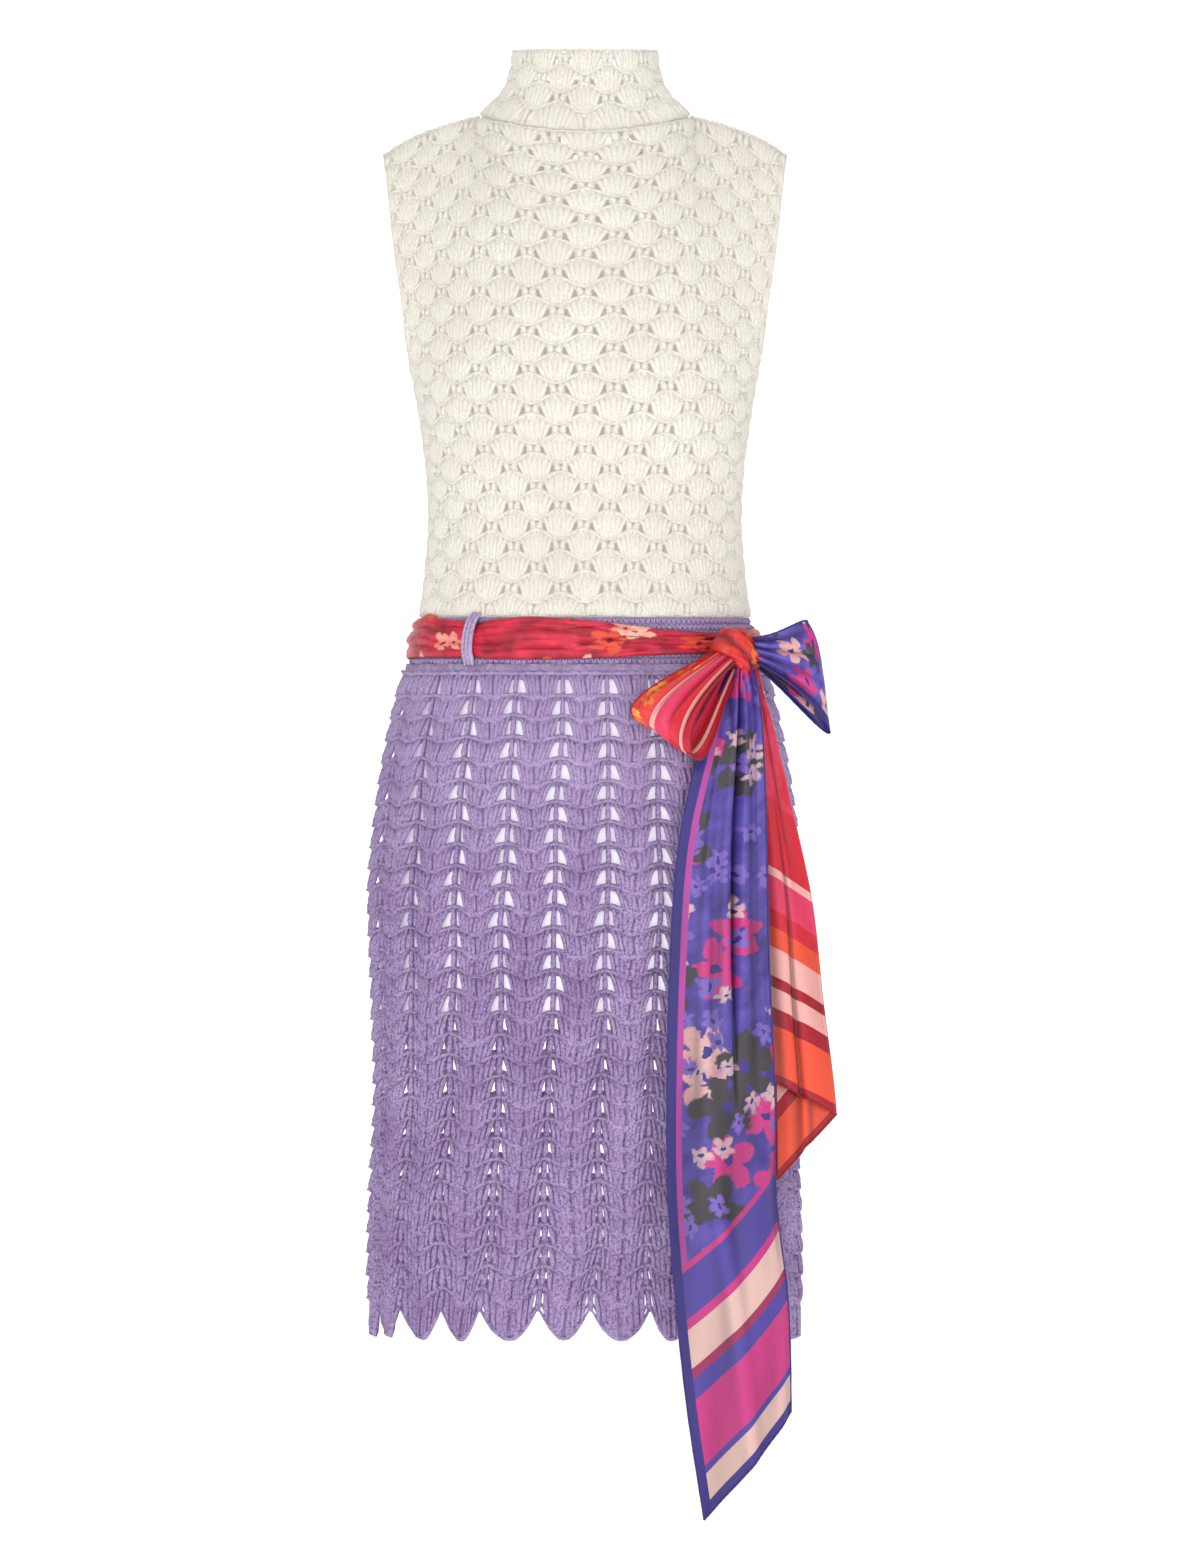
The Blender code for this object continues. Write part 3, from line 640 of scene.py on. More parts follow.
# %% Front and back of the bodice
BODICE_REPEATS = 9
for side, start in (("front", 0), ("back", 1)):  # the back starts on the other row, so the nets don't line up
    form, node = BODICE_FORMS[side], f"bodice_{side}"
    stitches, ground = net_panel(node + "_net", BODICE_REPEATS, BODICE_ROWS, form, node, start)

# %% Shoulder seams
seams = bmesh.new()
for first, last in ((0.0, 0.25), (1.0, 0.75)):
    share = np.linspace(first, last, 46)
    edges = [BODICE_FORMS[side].place(share, 0 * share, 0 * share + 0.0008) for side in ("front", "back")]
    yarn(seams, sum(edges) / 2, [0.0021 * (1 + 0.13 * (-1) ** k) for k in range(len(share))])
shoulder_seams = joined("shoulder_seams", [as_mesh(seams, "shoulder_seams", outwards=True)], CREAM)
dressed([shoulder_seams], "bodice_front")
print("shoulder seams:", len(shoulder_seams.data.polygons), "faces")

# %% The collar
stitches, ground = net_panel("collar_net", 10, COLLAR_ROWS, COLLAR_FORM, "collar", open_sides=False)

# %% [markdown]
# ## The skirt
# The skirt is worked in waves: posts fan together into a cup in the middle of each repeat, and three legs
# meet in a point at its edge, with a gap on each side of the middle leg. Rows are turned at their ends, so
# the larger gap is on one side in one row and on the other side in the next. Towards the hem the waves
# deepen into scallops. The waves could be a texture on a plain tube, but then the hem and the gaps would
# have no depth.

# %% The waves of the skirt
SHELLS = 11
SKIRT_ROWS = 30
EASE = ((0, 0.3, 0.5, 0.62, 0.9, 1.0), (0.0014, 0.0010, -0.0006, -0.0014, -0.0020, -0.0060))  # fall, lift
WAVE = (  # row, depth of the wave
    (0, 0.0), (2, 0.0036), (8, 0.0052), (15, 0.0068), (25, 0.0092), (29, 0.0125), (30, 0.0248),
)


def lay_skirt(x, y, bow):
    """Share across the panel and level below the shoulders for a flat place on the skirt."""
    width, height = SKIRT_REPEAT
    across, down = x / width, -y / height
    depth = smooth_curve(WAVE, np.clip(down, 0, SKIRT_ROWS))[:, 0]
    sharp = 2.0 - 1.1 * np.clip(down - 29, 0, 1)
    wave = np.abs(np.sin(math.pi * across)) ** sharp
    near_hem = np.clip((down - 20) / 10, 0, 1)
    drift = uneven(across * 1.1, down * 0.5 * (1 - 0.6 * near_hem), 0.030 + 0.075 * near_hem)
    fall = np.clip(down, 0, SKIRT_ROWS) / SKIRT_ROWS
    drift = drift - 0.36 * fall**1.5 - bow * np.sin(math.pi * fall)
    across = across + drift * np.minimum(1, 3 * np.sin(math.pi * np.clip(across / SHELLS, 0, 1)))
    level = down + uneven(across * 0.6, down * 0.8, 0.05) * np.clip(down, 0, 1)
    return np.clip(across / SHELLS, 0, 1), -SKIRT_START + height * level + depth * wave


print(f"skirt: {SHELLS} shells round each half, scallops {1000 * WAVE[-1][1]:.0f} mm deep")

# %% How the shells stand out
SKIRT_LENGTH = 0.53


def skirt_bend(form, bow):
    """Bends flat skirt work: shells stand out from the columns of gaps, and each row laps over the next."""

    def bend(x, y, z):
        across, drop = lay_skirt(x, y, bow)
        low = np.clip((drop + WAISTBAND_FOOT) / SKIRT_LENGTH, 0, 1)
        ease = np.interp(low, EASE[0], EASE[1])
        ripple = ease - (0.0008 + 0.0018 * low) * np.cos(2 * math.pi * across * SHELLS)
        shell = np.sin(math.pi * x / SKIRT_REPEAT[0]) ** 2
        lap = (0.0028 + 0.0006 * low) * ((-y / SKIRT_REPEAT[1]) % 1) ** 1.5 * (0.30 + 0.70 * shell)
        split = np.exp(-(((x / SKIRT_REPEAT[0] % 1 - 0.5) / 0.035) ** 2))
        filled = np.where(z == 0, (0.0022 + 0.0006 * low) * shell * (1 - 0.9 * split), 0)
        return fuzzy(form.place(across, drop, z + ripple + lap + filled))

    return bend


# %% The posts of a skirt repeat
GAP_REACH = (  # from this row on: reach of the large gap and of the small one, as shares of a repeat
    (0, (0.290, 0.200)),
    (12, (0.250, 0.180)),
    (16, (0.210, 0.160)),
    (20, (0.180, 0.150)),
    (24, (0.150, 0.145)),
)
POST_TOPS = (0.03, 0.17, 0.31, 0.44, 0.56, 0.69, 0.83, 0.97)
POST_LEANS = (0, 0, -0.008, -0.018, 0.018, 0.008, 0, 0)
POST_SOON = (0.34, 0.43, 0.60, 0.86, 0.86, 0.60, 0.43, 0.34)  # below 1, a post gets to its foot's side early
MIDDLE_LEG = (0.0, 0.0, 1.0)
SKIRT_POST, SKIRT_CHAIN = 0.0020, 0.0016  # radii


def skirt_posts(near, far):
    """Posts of one repeat: the middle leg at 0, the leg past the large gap, the cup, and the other leg."""
    feet = np.linspace(far, 1 - near, len(POST_TOPS)) + np.array(POST_LEANS)
    return [MIDDLE_LEG] + [(top, float(foot), soon) for top, foot, soon in zip(POST_TOPS, feet, POST_SOON)]


def mirrored(posts):
    """The same repeat turned at the row's end: all but the middle leg change sides."""
    return [((1 - top) % 1.0, (1 - foot) % 1.0, soon) if top else MIDDLE_LEG for top, foot, soon in posts]


print("posts in a skirt repeat:", len(skirt_posts(0.2, 0.29)))

# %% The gaps of the skirt
GAP_LINES = (0, 0.045, 0.15, 0.26, 0.40, 0.5, 0.60, 0.74, 0.85, 0.955)
LEG = 0.045  # half the middle leg, as a share of the repeat
GAP_ROWS = (0, 0.26, 0.60, 0.90)
GAP_SHAPE = ((0, 0.26, 0.60, 0.90, 1.0), (0.28, 0.72, 1.00, 0.80, 0.66))  # level in the row, share reached


def gap_edge(down, foot):
    """How far from the middle leg the gap reaches: it is rounded, and widest a little below its middle."""
    return float(np.interp(down, *GAP_SHAPE)) * foot


def gap_feet(row):
    """The reach of the gaps to the right and to the left of a middle leg."""
    reach = next(reach for first, reach in reversed(GAP_REACH) if row >= first)
    return reach if row % 2 == 0 else reach[::-1]


def gap_line(line, row, q):
    """Where a line of the ground's grid stands at a height q in a row, next to the gaps."""
    if q == 0:
        return line
    right, left = gap_feet(row)
    if line in (0.15, 0.26):
        edge = max(gap_edge(q, right), LEG + 0.005)
        return edge if line == 0.26 else 0.5 * (LEG + edge)
    if line in (0.74, 0.85):
        edge = 1 - max(gap_edge(q, left), LEG + 0.005)
        return edge if line == 0.74 else 0.5 * (1 - LEG + edge)
    return line


# %% The skirt's ground sheet
def skirt_ground():
    """A flat sheet with a gap on each side of every middle leg."""
    width, height = SKIRT_REPEAT
    across = [(k, line) for k in range(SHELLS) for line in GAP_LINES] + [(SHELLS, 0)]
    down = [(-0.44, 0)] + [(k, line) for k in range(SKIRT_ROWS) for line in GAP_ROWS] + [(SKIRT_ROWS, 0)]
    sheet = bmesh.new()
    bmesh.ops.create_grid(sheet, x_segments=len(across) - 1, y_segments=len(down) - 1, size=0.5)
    for vert in sheet.verts:
        k, line = across[round((vert.co.x + 0.5) * (len(across) - 1))]
        row, q = down[round((0.5 - vert.co.y) * (len(down) - 1))]
        vert.co = (width * (k + gap_line(line, row, q)), -height * (row + q), 0)
    gaps = []
    for face in sheet.faces:
        middle = face.calc_center_median()
        line, q, row = (middle.x / width) % 1, (-middle.y / height) % 1, int(-middle.y / height)
        right, left = gap_feet(row)
        beside = LEG < line < gap_edge(q, right) or 1 - LEG > line > 1 - gap_edge(q, left)
        if middle.y < 0 and GAP_ROWS[1] < q < GAP_ROWS[3] and beside:
            gaps.append(face)
    bmesh.ops.delete(sheet, geom=gaps, context="FACES")
    return as_mesh(sheet, "skirt")


# %% The yarn of a skirt panel
def skirt_yarn(side):
    """The rows of posts laid flat, a chain down each side and one along the hem."""
    width, height = SKIRT_REPEAT
    parts = []
    for (first, (right, left)), (last, _) in zip(GAP_REACH, GAP_REACH[1:] + ((SKIRT_ROWS, None),)):
        for turned in (0, 1):
            posts = skirt_posts(left, right)
            unit = row_of_posts(SKIRT_REPEAT, mirrored(posts) if turned else posts, SKIRT_POST, SKIRT_CHAIN)
            rows = repeated(unit, "row", SHELLS, (last - first) // 2, width, 2 * height)
            parts.append((rows, (0, -(first + turned) * height, 0)))
    parts += [edging(height, width * SHELLS * k, SKIRT_ROWS, 0.0015) for k in (0, 1)]
    parts.append(foot_chain(width * SHELLS, -height * SKIRT_ROWS, SHELLS * 10, 0.0016))
    return joined(f"skirt_{side}_stitches", parts, LILAC)


# %% Front and back of the skirt
for side, bow in (("front", 0.0), ("back", 0.045)):  # the gap columns of the back bow out, as hand work does
    stitches = skirt_yarn(side)
    ground = thickened(joined(f"skirt_{side}_ground", [skirt_ground()], LILAC), GROUND, -1)
    for piece in (stitches, ground):
        bent(piece, skirt_bend(SKIRT_FORMS[side], bow), turned=side == "back")
    dressed((stitches, ground), f"skirt_{side}")
    print(f"skirt {side}: {SHELLS} repeats by {SKIRT_ROWS} rows, {len(stitches.data.polygons)} faces of yarn")

# %% [markdown]
# ## The waistband
# The waistband is dense rows of single crochet, which look like a close knit of small Vs. One V of two
# short lengths of yarn is repeated all the way round, over a plain ground. A bump in the material would be
# enough from far away, but the rounded edge of the band needs stitches that stand out.

# %% Sizes of the waistband
BAND_STITCHES = 168
BAND_ROWS = 7
BAND_STITCH = (0.0052, (WAISTBAND_TOP - WAISTBAND_FOOT) / BAND_ROWS)


def band_bend(x, y, z):
    across = np.clip(x / (BAND_STITCH[0] * BAND_STITCHES), 0, 1)
    return AROUND_FORM.place(across, -WAISTBAND_TOP + 0.0004 - y * 0.985, z)


print("waistband stitches:", BAND_STITCHES * BAND_ROWS)

# %% The Vs of the waistband
vee = bmesh.new()
for start, stop in ((0.0006, 0.0026), (0.0046, 0.0026)):
    shares = np.array((0.05, 0.5, 1))
    domes = 0.0007 + 0.0009 * np.sin(math.pi * shares)
    spots = np.column_stack([start + (stop - start) * shares, -BAND_STITCH[1] * shares, domes])
    yarn(vee, spots, [0.0011, 0.0013, 0.0010])
flat_band = repeated(vee, "vee", BAND_STITCHES, BAND_ROWS, BAND_STITCH[0], BAND_STITCH[1])
band = bent(joined("waistband_stitches", [flat_band], LILAC), band_bend)
print("waistband yarn:", len(band.data.polygons), "faces")

# %% The ground of the waistband
sheet = bmesh.new()
bmesh.ops.create_grid(sheet, x_segments=96, y_segments=6, size=0.5)
band_size = (BAND_STITCH[0] * BAND_STITCHES, BAND_STITCH[1] * BAND_ROWS)
for vert in sheet.verts:
    vert.co = ((vert.co.x + 0.5) * band_size[0], (vert.co.y - 0.5) * band_size[1], 0.0006)
band_ground = bent(joined("waistband_ground", [as_mesh(sheet, "waistband")], LILAC), band_bend)
thickened(band_ground, GROUND, -1)
dressed((band, band_ground), "waistband")
print(f"waistband: {1000 * band_size[1]:.0f} mm deep")

# %% [markdown]
# ## The silk's print
# One long printed silk scarf goes round the waist and is tied in a bow. Its print is a generic one: washes
# of colour, plain five-petal blossoms, straight bands and edge lines. It could be painted as a picture,
# but procedural blossoms need none. They read an attribute that holds places on the flat cloth, so the
# print follows the silk round every fold. A second attribute, "fold", says how deep a point lies in a
# crease, and from it the finish paints shade into the creases and a little highlight on the crests.

# %% A wash of two colours
def washed(made, place, wash):
    """The cloud noise that everything printed shares, and the wash that it gives."""
    cloud = made.add("ShaderNodeTexNoise", {"Vector": place, "Scale": 34.0, "Detail": 4.0, "Roughness": 0.6})
    share = made.maths("MULTIPLY_ADD", cloud.outputs["Fac"], 3.4, -1.2)
    return cloud, made.mixed(share, paint(wash[0]), paint(wash[1]))


# %% One kind of blossom
SOFT_EDGE = 420.0  # one over the width in metres that a petal's edge takes to fade


def petals_round(made, off, chance, petals, size):
    """How far a blossom's petals reach beyond a place, and how far the place is from its heart."""
    x, y, _ = made.add("ShaderNodeSeparateXYZ", {0: off}).outputs
    turn = made.maths("MULTIPLY_ADD", chance, 6.0, made.maths("ARCTAN2", y, x))
    petal = made.maths("ABSOLUTE", made.maths("COSINE", made.maths("MULTIPLY", turn, petals / 2)))
    reach = made.maths("MULTIPLY", made.maths("MULTIPLY_ADD", petal, 0.26, 0.24), size)
    far = made.add("ShaderNodeVectorMath", {0: off}, operation="LENGTH").outputs["Value"]
    return made.maths("SUBTRACT", reach, far), far


def with_blossoms(made, colour, flat, cloud, ground, kind):
    """Prints one kind of blossom: one in each cell of a Voronoi pattern, in a share of the cells."""
    size, petals, share, tones = kind
    shift = (0.37 * size, 0.61 * petals * size, 0)
    moved = made.add("ShaderNodeVectorMath", {0: flat, 1: shift}, operation="ADD").outputs[0]
    cells = {"Vector": moved, "Scale": 1 / size, "Randomness": 0.75}
    cell = made.add("ShaderNodeTexVoronoi", cells, voronoi_dimensions="2D").outputs
    off = made.add("ShaderNodeVectorMath", {0: moved, 1: cell["Position"]}, operation="SUBTRACT").outputs[0]
    chance = made.add("ShaderNodeSeparateColor", {0: cell["Color"]}).outputs
    beyond, far = petals_round(made, off, chance[1], petals, size)
    inside = made.add("ShaderNodeClamp", {0: made.maths("MULTIPLY", beyond, SOFT_EDGE)}).outputs[0]
    inside = made.maths("MULTIPLY", inside, made.maths("LESS_THAN", chance[2], share))
    tone = paint(tones[0])
    for k, other in enumerate(tones[1:]):
        tone = made.mixed(made.maths("LESS_THAN", chance[0], 1 - (k + 1) / len(tones)), paint(other), tone)
    heart = made.maths("LESS_THAN", far, 0.085 * size)
    vein = made.maths("MULTIPLY_ADD", cloud.outputs["Fac"], 1.6, -0.55)
    shaded = made.mixed(vein, tone, paint(tones[-1]))
    return made.mixed(inside, colour, made.mixed(heart, shaded, paint(ground)))


# %% Bands, lines and creases
def with_steps(made, colour, value, steps):
    """Paints straight bands, each up to its value. One without a colour shows what is under it."""
    plain = colour
    for reach, tone in reversed(steps):
        colour = made.mixed(made.maths("LESS_THAN", value, reach), colour, paint(tone) if tone else plain)
    return colour


def with_painted_crease_shade(made, colour):
    """Paints shade into the creases and a painted highlight on the crests, by the cloth's own relief."""
    fold = made.add("ShaderNodeAttribute", attribute_name="fold").outputs["Fac"]
    shade = made.maths("MULTIPLY_ADD", fold, 0.50, 1.0)
    colour = made.add("ShaderNodeVectorMath", {0: colour, "Scale": shade}, operation="SCALE").outputs[0]
    return made.add("ShaderNodeVectorMath", {0: colour, 1: (0.9, 0.9, 0.9)}, operation="MINIMUM").outputs[0]


# %% A printed silk
def silk_finish(name, wash, blossoms=(), bands=(), lines=(), edge=()):
    """Printed silk. The attribute "print" holds places on the cloth: across, along, and up from its end."""
    made = Finish(name, 0.42, sheen=0.06)
    made.shader.inputs["Specular IOR Level"].default_value = 0.40
    place = made.add("ShaderNodeAttribute", attribute_name="print").outputs["Vector"]
    across, _, up = made.add("ShaderNodeSeparateXYZ", {0: place}).outputs
    cloud, colour = washed(made, place, wash)
    bleed = {0: cloud.outputs["Color"], 1: (0.022, 0.022, 0)}
    bleed = made.add("ShaderNodeVectorMath", bleed, operation="MULTIPLY").outputs[0]
    flat = made.add("ShaderNodeVectorMath", {0: place, 1: (1, 1, 0)}, operation="MULTIPLY").outputs[0]
    flat = made.add("ShaderNodeVectorMath", {0: flat, 1: bleed}, operation="ADD").outputs[0]
    for kind in blossoms:
        colour = with_blossoms(made, colour, flat, cloud, wash[0], kind)
    for value, steps in ((across, lines), (up, bands), (across, edge)):
        colour = with_steps(made, colour, value, steps)
    # painted shade in the creases and a painted highlight on the crests, read from the "fold" attribute
    made.colour(with_painted_crease_shade(made, colour))
    weave = made.add("ShaderNodeTexNoise", {"Vector": place, "Scale": 900.0, "Detail": 2.0}).outputs["Fac"]
    crinkle = made.add("ShaderNodeTexNoise", {"Vector": place, "Scale": 90.0, "Detail": 3.0}).outputs["Fac"]
    made.bump(made.maths("MULTIPLY_ADD", weave, 0.08, crinkle), 0.0014, 0.55)
    return made.material


# %% The scarf's colours
INDIGO, VIOLET, DEEP, BLUSH, MAGENTA, CHARCOAL = "382C78", "54459A", "473A8C", "C9A69E", "B32F74", "3A353B"
CRIMSON, RED, ORANGE, ROSE, PALE = "9A0D22", "C21B2E", "DB4A2F", "CF3358", "DFA09B"
HEM_RED = silk_finish("red_hem", (CRIMSON, "850A1C"))
HEM_VIOLET = silk_finish("violet_hem", ("281F63", "33277C"))
print("hems:", HEM_RED.name, HEM_VIOLET.name)

# %% The violet silks
VIOLET_PRINT = silk_finish(
    "violet_print",
    (INDIGO, VIOLET),
    blossoms=(  # size, petals, share of the cells, tones
        (0.048, 5, 0.65, (BLUSH, "8E6FB0", MAGENTA)),
        (0.056, 5, 0.50, (CHARCOAL, "C08E9A", CHARCOAL)),
        (0.021, 5, 0.45, (BLUSH, "A07CBC", "6E57A6")),
    ),
    lines=((0.0125, "A23C8E"),),
    bands=(
        (0.0095, INDIGO), (0.030, BLUSH), (0.036, DEEP), (0.088, MAGENTA), (0.104, DEEP), (0.112, "8F2550"),
        (0.142, BLUSH), (0.150, MAGENTA), (0.186, DEEP), (0.1915, MAGENTA),
    ),
    edge=((0.0075, "2E2470"),),
)
VIOLET_BLOOM = silk_finish(
    "violet_bloom",
    ("2C2270", "6A58B4"),
    blossoms=(
        (0.034, 5, 0.75, (BLUSH, "8A76BE", MAGENTA)),
        (0.030, 5, 0.40, (CHARCOAL, "4B3B78", CHARCOAL)),
    ),
    lines=((0.008, "2E2470"),),
)
print("violet silks:", VIOLET_PRINT.name, VIOLET_BLOOM.name)

# %% The red silks
RED_PRINT = silk_finish(
    "red_print",
    (RED, ROSE),
    blossoms=((0.050, 5, 0.35, (PALE, ORANGE, RED)),),
    bands=(
        (0.007, CRIMSON), (0.046, ORANGE), (0.060, CRIMSON), (0.076, PALE), (0.085, CRIMSON), (0.108, PALE),
        (0.124, ORANGE), (0.138, RED), (0.165, ROSE), (0.172, PALE), (0.230, RED),
    ),
)
RED_LOOP = silk_finish(
    "red_loop",
    ("C4262F", "D8452C"),
    blossoms=((0.020, 5, 0.9, ("E0A23C", PALE, "D9692F")),),
    lines=(
        (0.020, None), (0.023, "C9283C"), (0.029, PALE), (0.046, ROSE), (0.060, RED), (0.064, PALE),
        (0.090, "B3172E"),
    ),
)
RED_BELT = silk_finish(
    "red_belt",
    ("860B24", "CC2440"),
    blossoms=((0.040, 5, 0.34, ("E6BBA4", "D0452F")), (0.026, 5, 0.20, ("E0A08C", RED))),
)
ORANGE_KNOT = silk_finish(
    "orange_knot",
    ("9C1020", "CC3C2C"),
    blossoms=((0.022, 5, 0.5, ("DE6A2C", "C92A2A")),),
)
print("red silks:", ", ".join(silk.name for silk in (RED_PRINT, RED_LOOP, RED_BELT, ORANGE_KNOT)))

# %% [markdown]
# ## Sheets of silk
# Silk is far thinner than the yarn, so each stretch of the scarf is a sheet with its own creases: ridges
# that start at the knot and fade as the cloth hangs free. A cloth simulation would find its own folds, but
# placing the main ones keeps them where they belong. Each sheet is a grid whose points are moved
# by a function of u across it and v down it, both from 0 to 1.

# %% Shapes of creases
def ridge(t):
    """A wave with round crests and sharp valleys between them, as gathered cloth has."""
    return 2 * np.abs(np.sin(math.pi * t)) - 1


def hump(at, middle, width):
    """A single soft fold: 1 at its middle, and nearly nothing two widths away."""
    return np.exp(-(((at - middle) / width) ** 2))


# %% How deep each point lies in a fold, which sets the painted crease shade
FULL_RELIEF = 0.0007  # metres of relief that count as a full crease


def relief(points, steps):
    """How far each point of a grid stands out from the cloth beside it, from -1 to 0.35 on a crest."""
    grid = points.reshape(steps[1] + 1, steps[0] + 1, 3)
    normals = np.cross(np.gradient(grid, axis=0), np.gradient(grid, axis=1))
    normals /= np.maximum(np.linalg.norm(normals, axis=2, keepdims=True), 1e-12)
    if normals[steps[1] // 4, 1, 1] > 0:
        normals = -normals
    out = 0
    for axis, count in enumerate((steps[1], steps[0])):
        reach = max(1, count // 26)
        before = np.take(grid, np.arange(count + 1) - reach, axis=axis, mode="clip")
        after = np.take(grid, np.arange(count + 1) + reach, axis=axis, mode="clip")
        part = ((grid - 0.5 * (before + after)) * normals).sum(axis=2)
        inner = np.arange(count + 1)
        inner = np.clip(np.minimum(inner, count - inner) / reach - 1, 0, 1)
        out = out + part * (inner[:, None] if axis == 0 else inner)
    return np.clip(out / FULL_RELIEF, -1, 0.35).ravel()


# %% A rolled hem
def rolled_hem(name, surface, edges, radius=0.0008):
    """A narrow rolled hem along edges of a sheet, each from one (u, v) to another."""
    work = bmesh.new()
    for (u0, v0), (u1, v1) in edges:
        t = np.linspace(0, 1, 90)
        points, _ = surface(u0 + (u1 - u0) * t, v0 + (v1 - v0) * t)
        yarn(work, points, [radius * (1 + 0.12 * math.sin(1.7 * k)) for k in range(len(t))])
    return as_mesh(work, name, outwards=True)


# %% A sheet of silk
SILK = 0.0007  # thickness: real silk is thinner, but its edges have to show


def printed_on(piece, places, folds):
    """Keeps the places on the cloth and the depth of its folds with each point, for the print and the painted
    crease shade to read.
    """
    piece.data.attributes.new("fold", "FLOAT", "POINT").data.foreach_set("value", folds)
    attribute = piece.data.attributes.new("print", "FLOAT_VECTOR", "POINT")
    attribute.data.foreach_set("vector", places.ravel())


def silk_sheet(name, steps, surface, finish, hem, edges, node):
    """A thin sheet of silk on a surface, with a rolled hem along the edges that have one."""
    work = bmesh.new()
    bmesh.ops.create_grid(work, x_segments=steps[0], y_segments=steps[1], size=0.5)
    made = joined(name, [as_mesh(work, name)], finish)
    x, y, _ = flat_places(made)
    placed, places = surface(x + 0.5, 0.5 - y)
    order = np.lexsort((np.round(x, 6), np.round(-y, 6)))
    folds = np.empty(len(x))
    folds[order] = relief(placed[order], steps)
    printed_on(made, places, folds)
    made.data.vertices.foreach_set("co", placed.ravel())
    thickened(made, SILK, 0)
    made.data.update()
    pieces = [made]
    if edges:
        pieces.append(joined(name + "_hem", [rolled_hem(name, surface, edges)], hem))
    dressed(pieces, node)
    print(f"{name}: {len(made.data.polygons)} faces")
    return pieces


# %% [markdown]
# ## The belt
# Round the waist the scarf is gathered to the width of the waistband, so long uneven creases run along it.
# It stands a few millimetres off the dress, is pinched by the belt loop in front and narrows into the
# knot. A strap with a bump would be quicker, but its edges would be straight.

# %% The edges of the belt
KNOT_SHARE = 0.405  # where the knot sits, from the -X side by way of the front
BELT_TOP, BELT_FOOT = -0.3865, -0.4190
FRONT_LOOP_SHARE = 0.1285  # where the front belt loop shows in the photograph


def belt_edges(around, near, pinch):
    """The heights of the belt's two edges: they wander a little, and close in at the knot and at the loop."""
    swell = hump(around, 0.055, 0.020) + 0.4 * hump(around, 0.19, 0.03)
    top = BELT_TOP - 0.0020 - 0.0110 * near + 0.0040 * swell - 0.0030 * pinch
    top += 0.0008 * np.sin(31 * around + 1)
    foot = BELT_FOOT + 0.0030 * near + 0.0008 * np.sin(23 * around) + 0.0016 * pinch
    return top, foot


print(f"belt: {1000 * (BELT_TOP - BELT_FOOT):.1f} mm deep")

# %% The creases of the belt
def belt(u, v):
    around = (u + KNOT_SHARE) % 1
    pinch = hump(around, FRONT_LOOP_SHARE, 0.012)
    top, foot = belt_edges(around, hump(u, np.round(u), 0.110), pinch)
    profile = 1 - v
    height = foot + (top - foot) * profile
    bulge = np.sin(math.pi * np.clip(profile, 0, 1)) ** 0.5
    drift = 0.40 * np.sin(11 * around + 0.5) + 0.26 * np.sin(29 * around + 1.3)
    creases = 0.0016 * ridge(2.3 * profile + drift) + 0.0009 * ridge(4.7 * profile - 1.7 * drift + 0.4)
    creases += 0.0004 * ridge(8.1 * profile + 2.9 * drift)
    out = 0.0034 + 0.0034 * bulge + creases * bulge * (1 - 0.5 * pinch)
    placed = AROUND_FORM.place(around, -height, out)
    return placed, np.column_stack([0.050 * profile + 0.020, 0.80 * u, 0 * u + 1])


belt_pieces = silk_sheet("sash_belt_silk", (280, 32), belt, RED_BELT, None, [], "sash_belt")

# %% [markdown]
# ## The long tail
# The longer end of the scarf falls from under the knot to well below the hem. It is gathered at the top,
# opens out as it falls, and one deep fold runs down beside its middle. A table gives its two edges at ten
# heights, and the folds are laid over that. Its end is cut on a slant, because the scarf's corner hangs
# lowest.

# %% Sizes of the long tail
LONG_TAIL = (  # height, left edge x and y, right edge x and y, depth of the slow wave
    (-0.4235, 0.1120, -0.0800, 0.1270, -0.0755, 0.0015),
    (-0.4430, 0.1020, -0.0880, 0.1330, -0.0800, 0.0030),
    (-0.5000, 0.0850, -0.1090, 0.1365, -0.0880, 0.0055),
    (-0.5660, 0.0714, -0.1180, 0.1390, -0.0930, 0.0060),
    (-0.6560, 0.0650, -0.1210, 0.1420, -0.0940, 0.0050),
    (-0.7630, 0.0620, -0.1220, 0.1480, -0.0950, 0.0045),
    (-0.8400, 0.0630, -0.1240, 0.1500, -0.0960, 0.0035),
    (-0.9190, 0.0690, -0.1250, 0.1590, -0.0960, 0.0030),
    (-1.0050, 0.0780, -0.1250, 0.1610, -0.0960, 0.0025),
    (-1.0900, 0.0905, -0.1230, 0.1610, -0.0970, 0.0015),
)
LONG_TAIL_END = (-1.0880, -1.0050)  # level at the left edge and at the right one
TAIL_START = -0.4160  # inside the knot
print(f"long tail: {1000 * (TAIL_START - LONG_TAIL_END[0]):.0f} mm long")

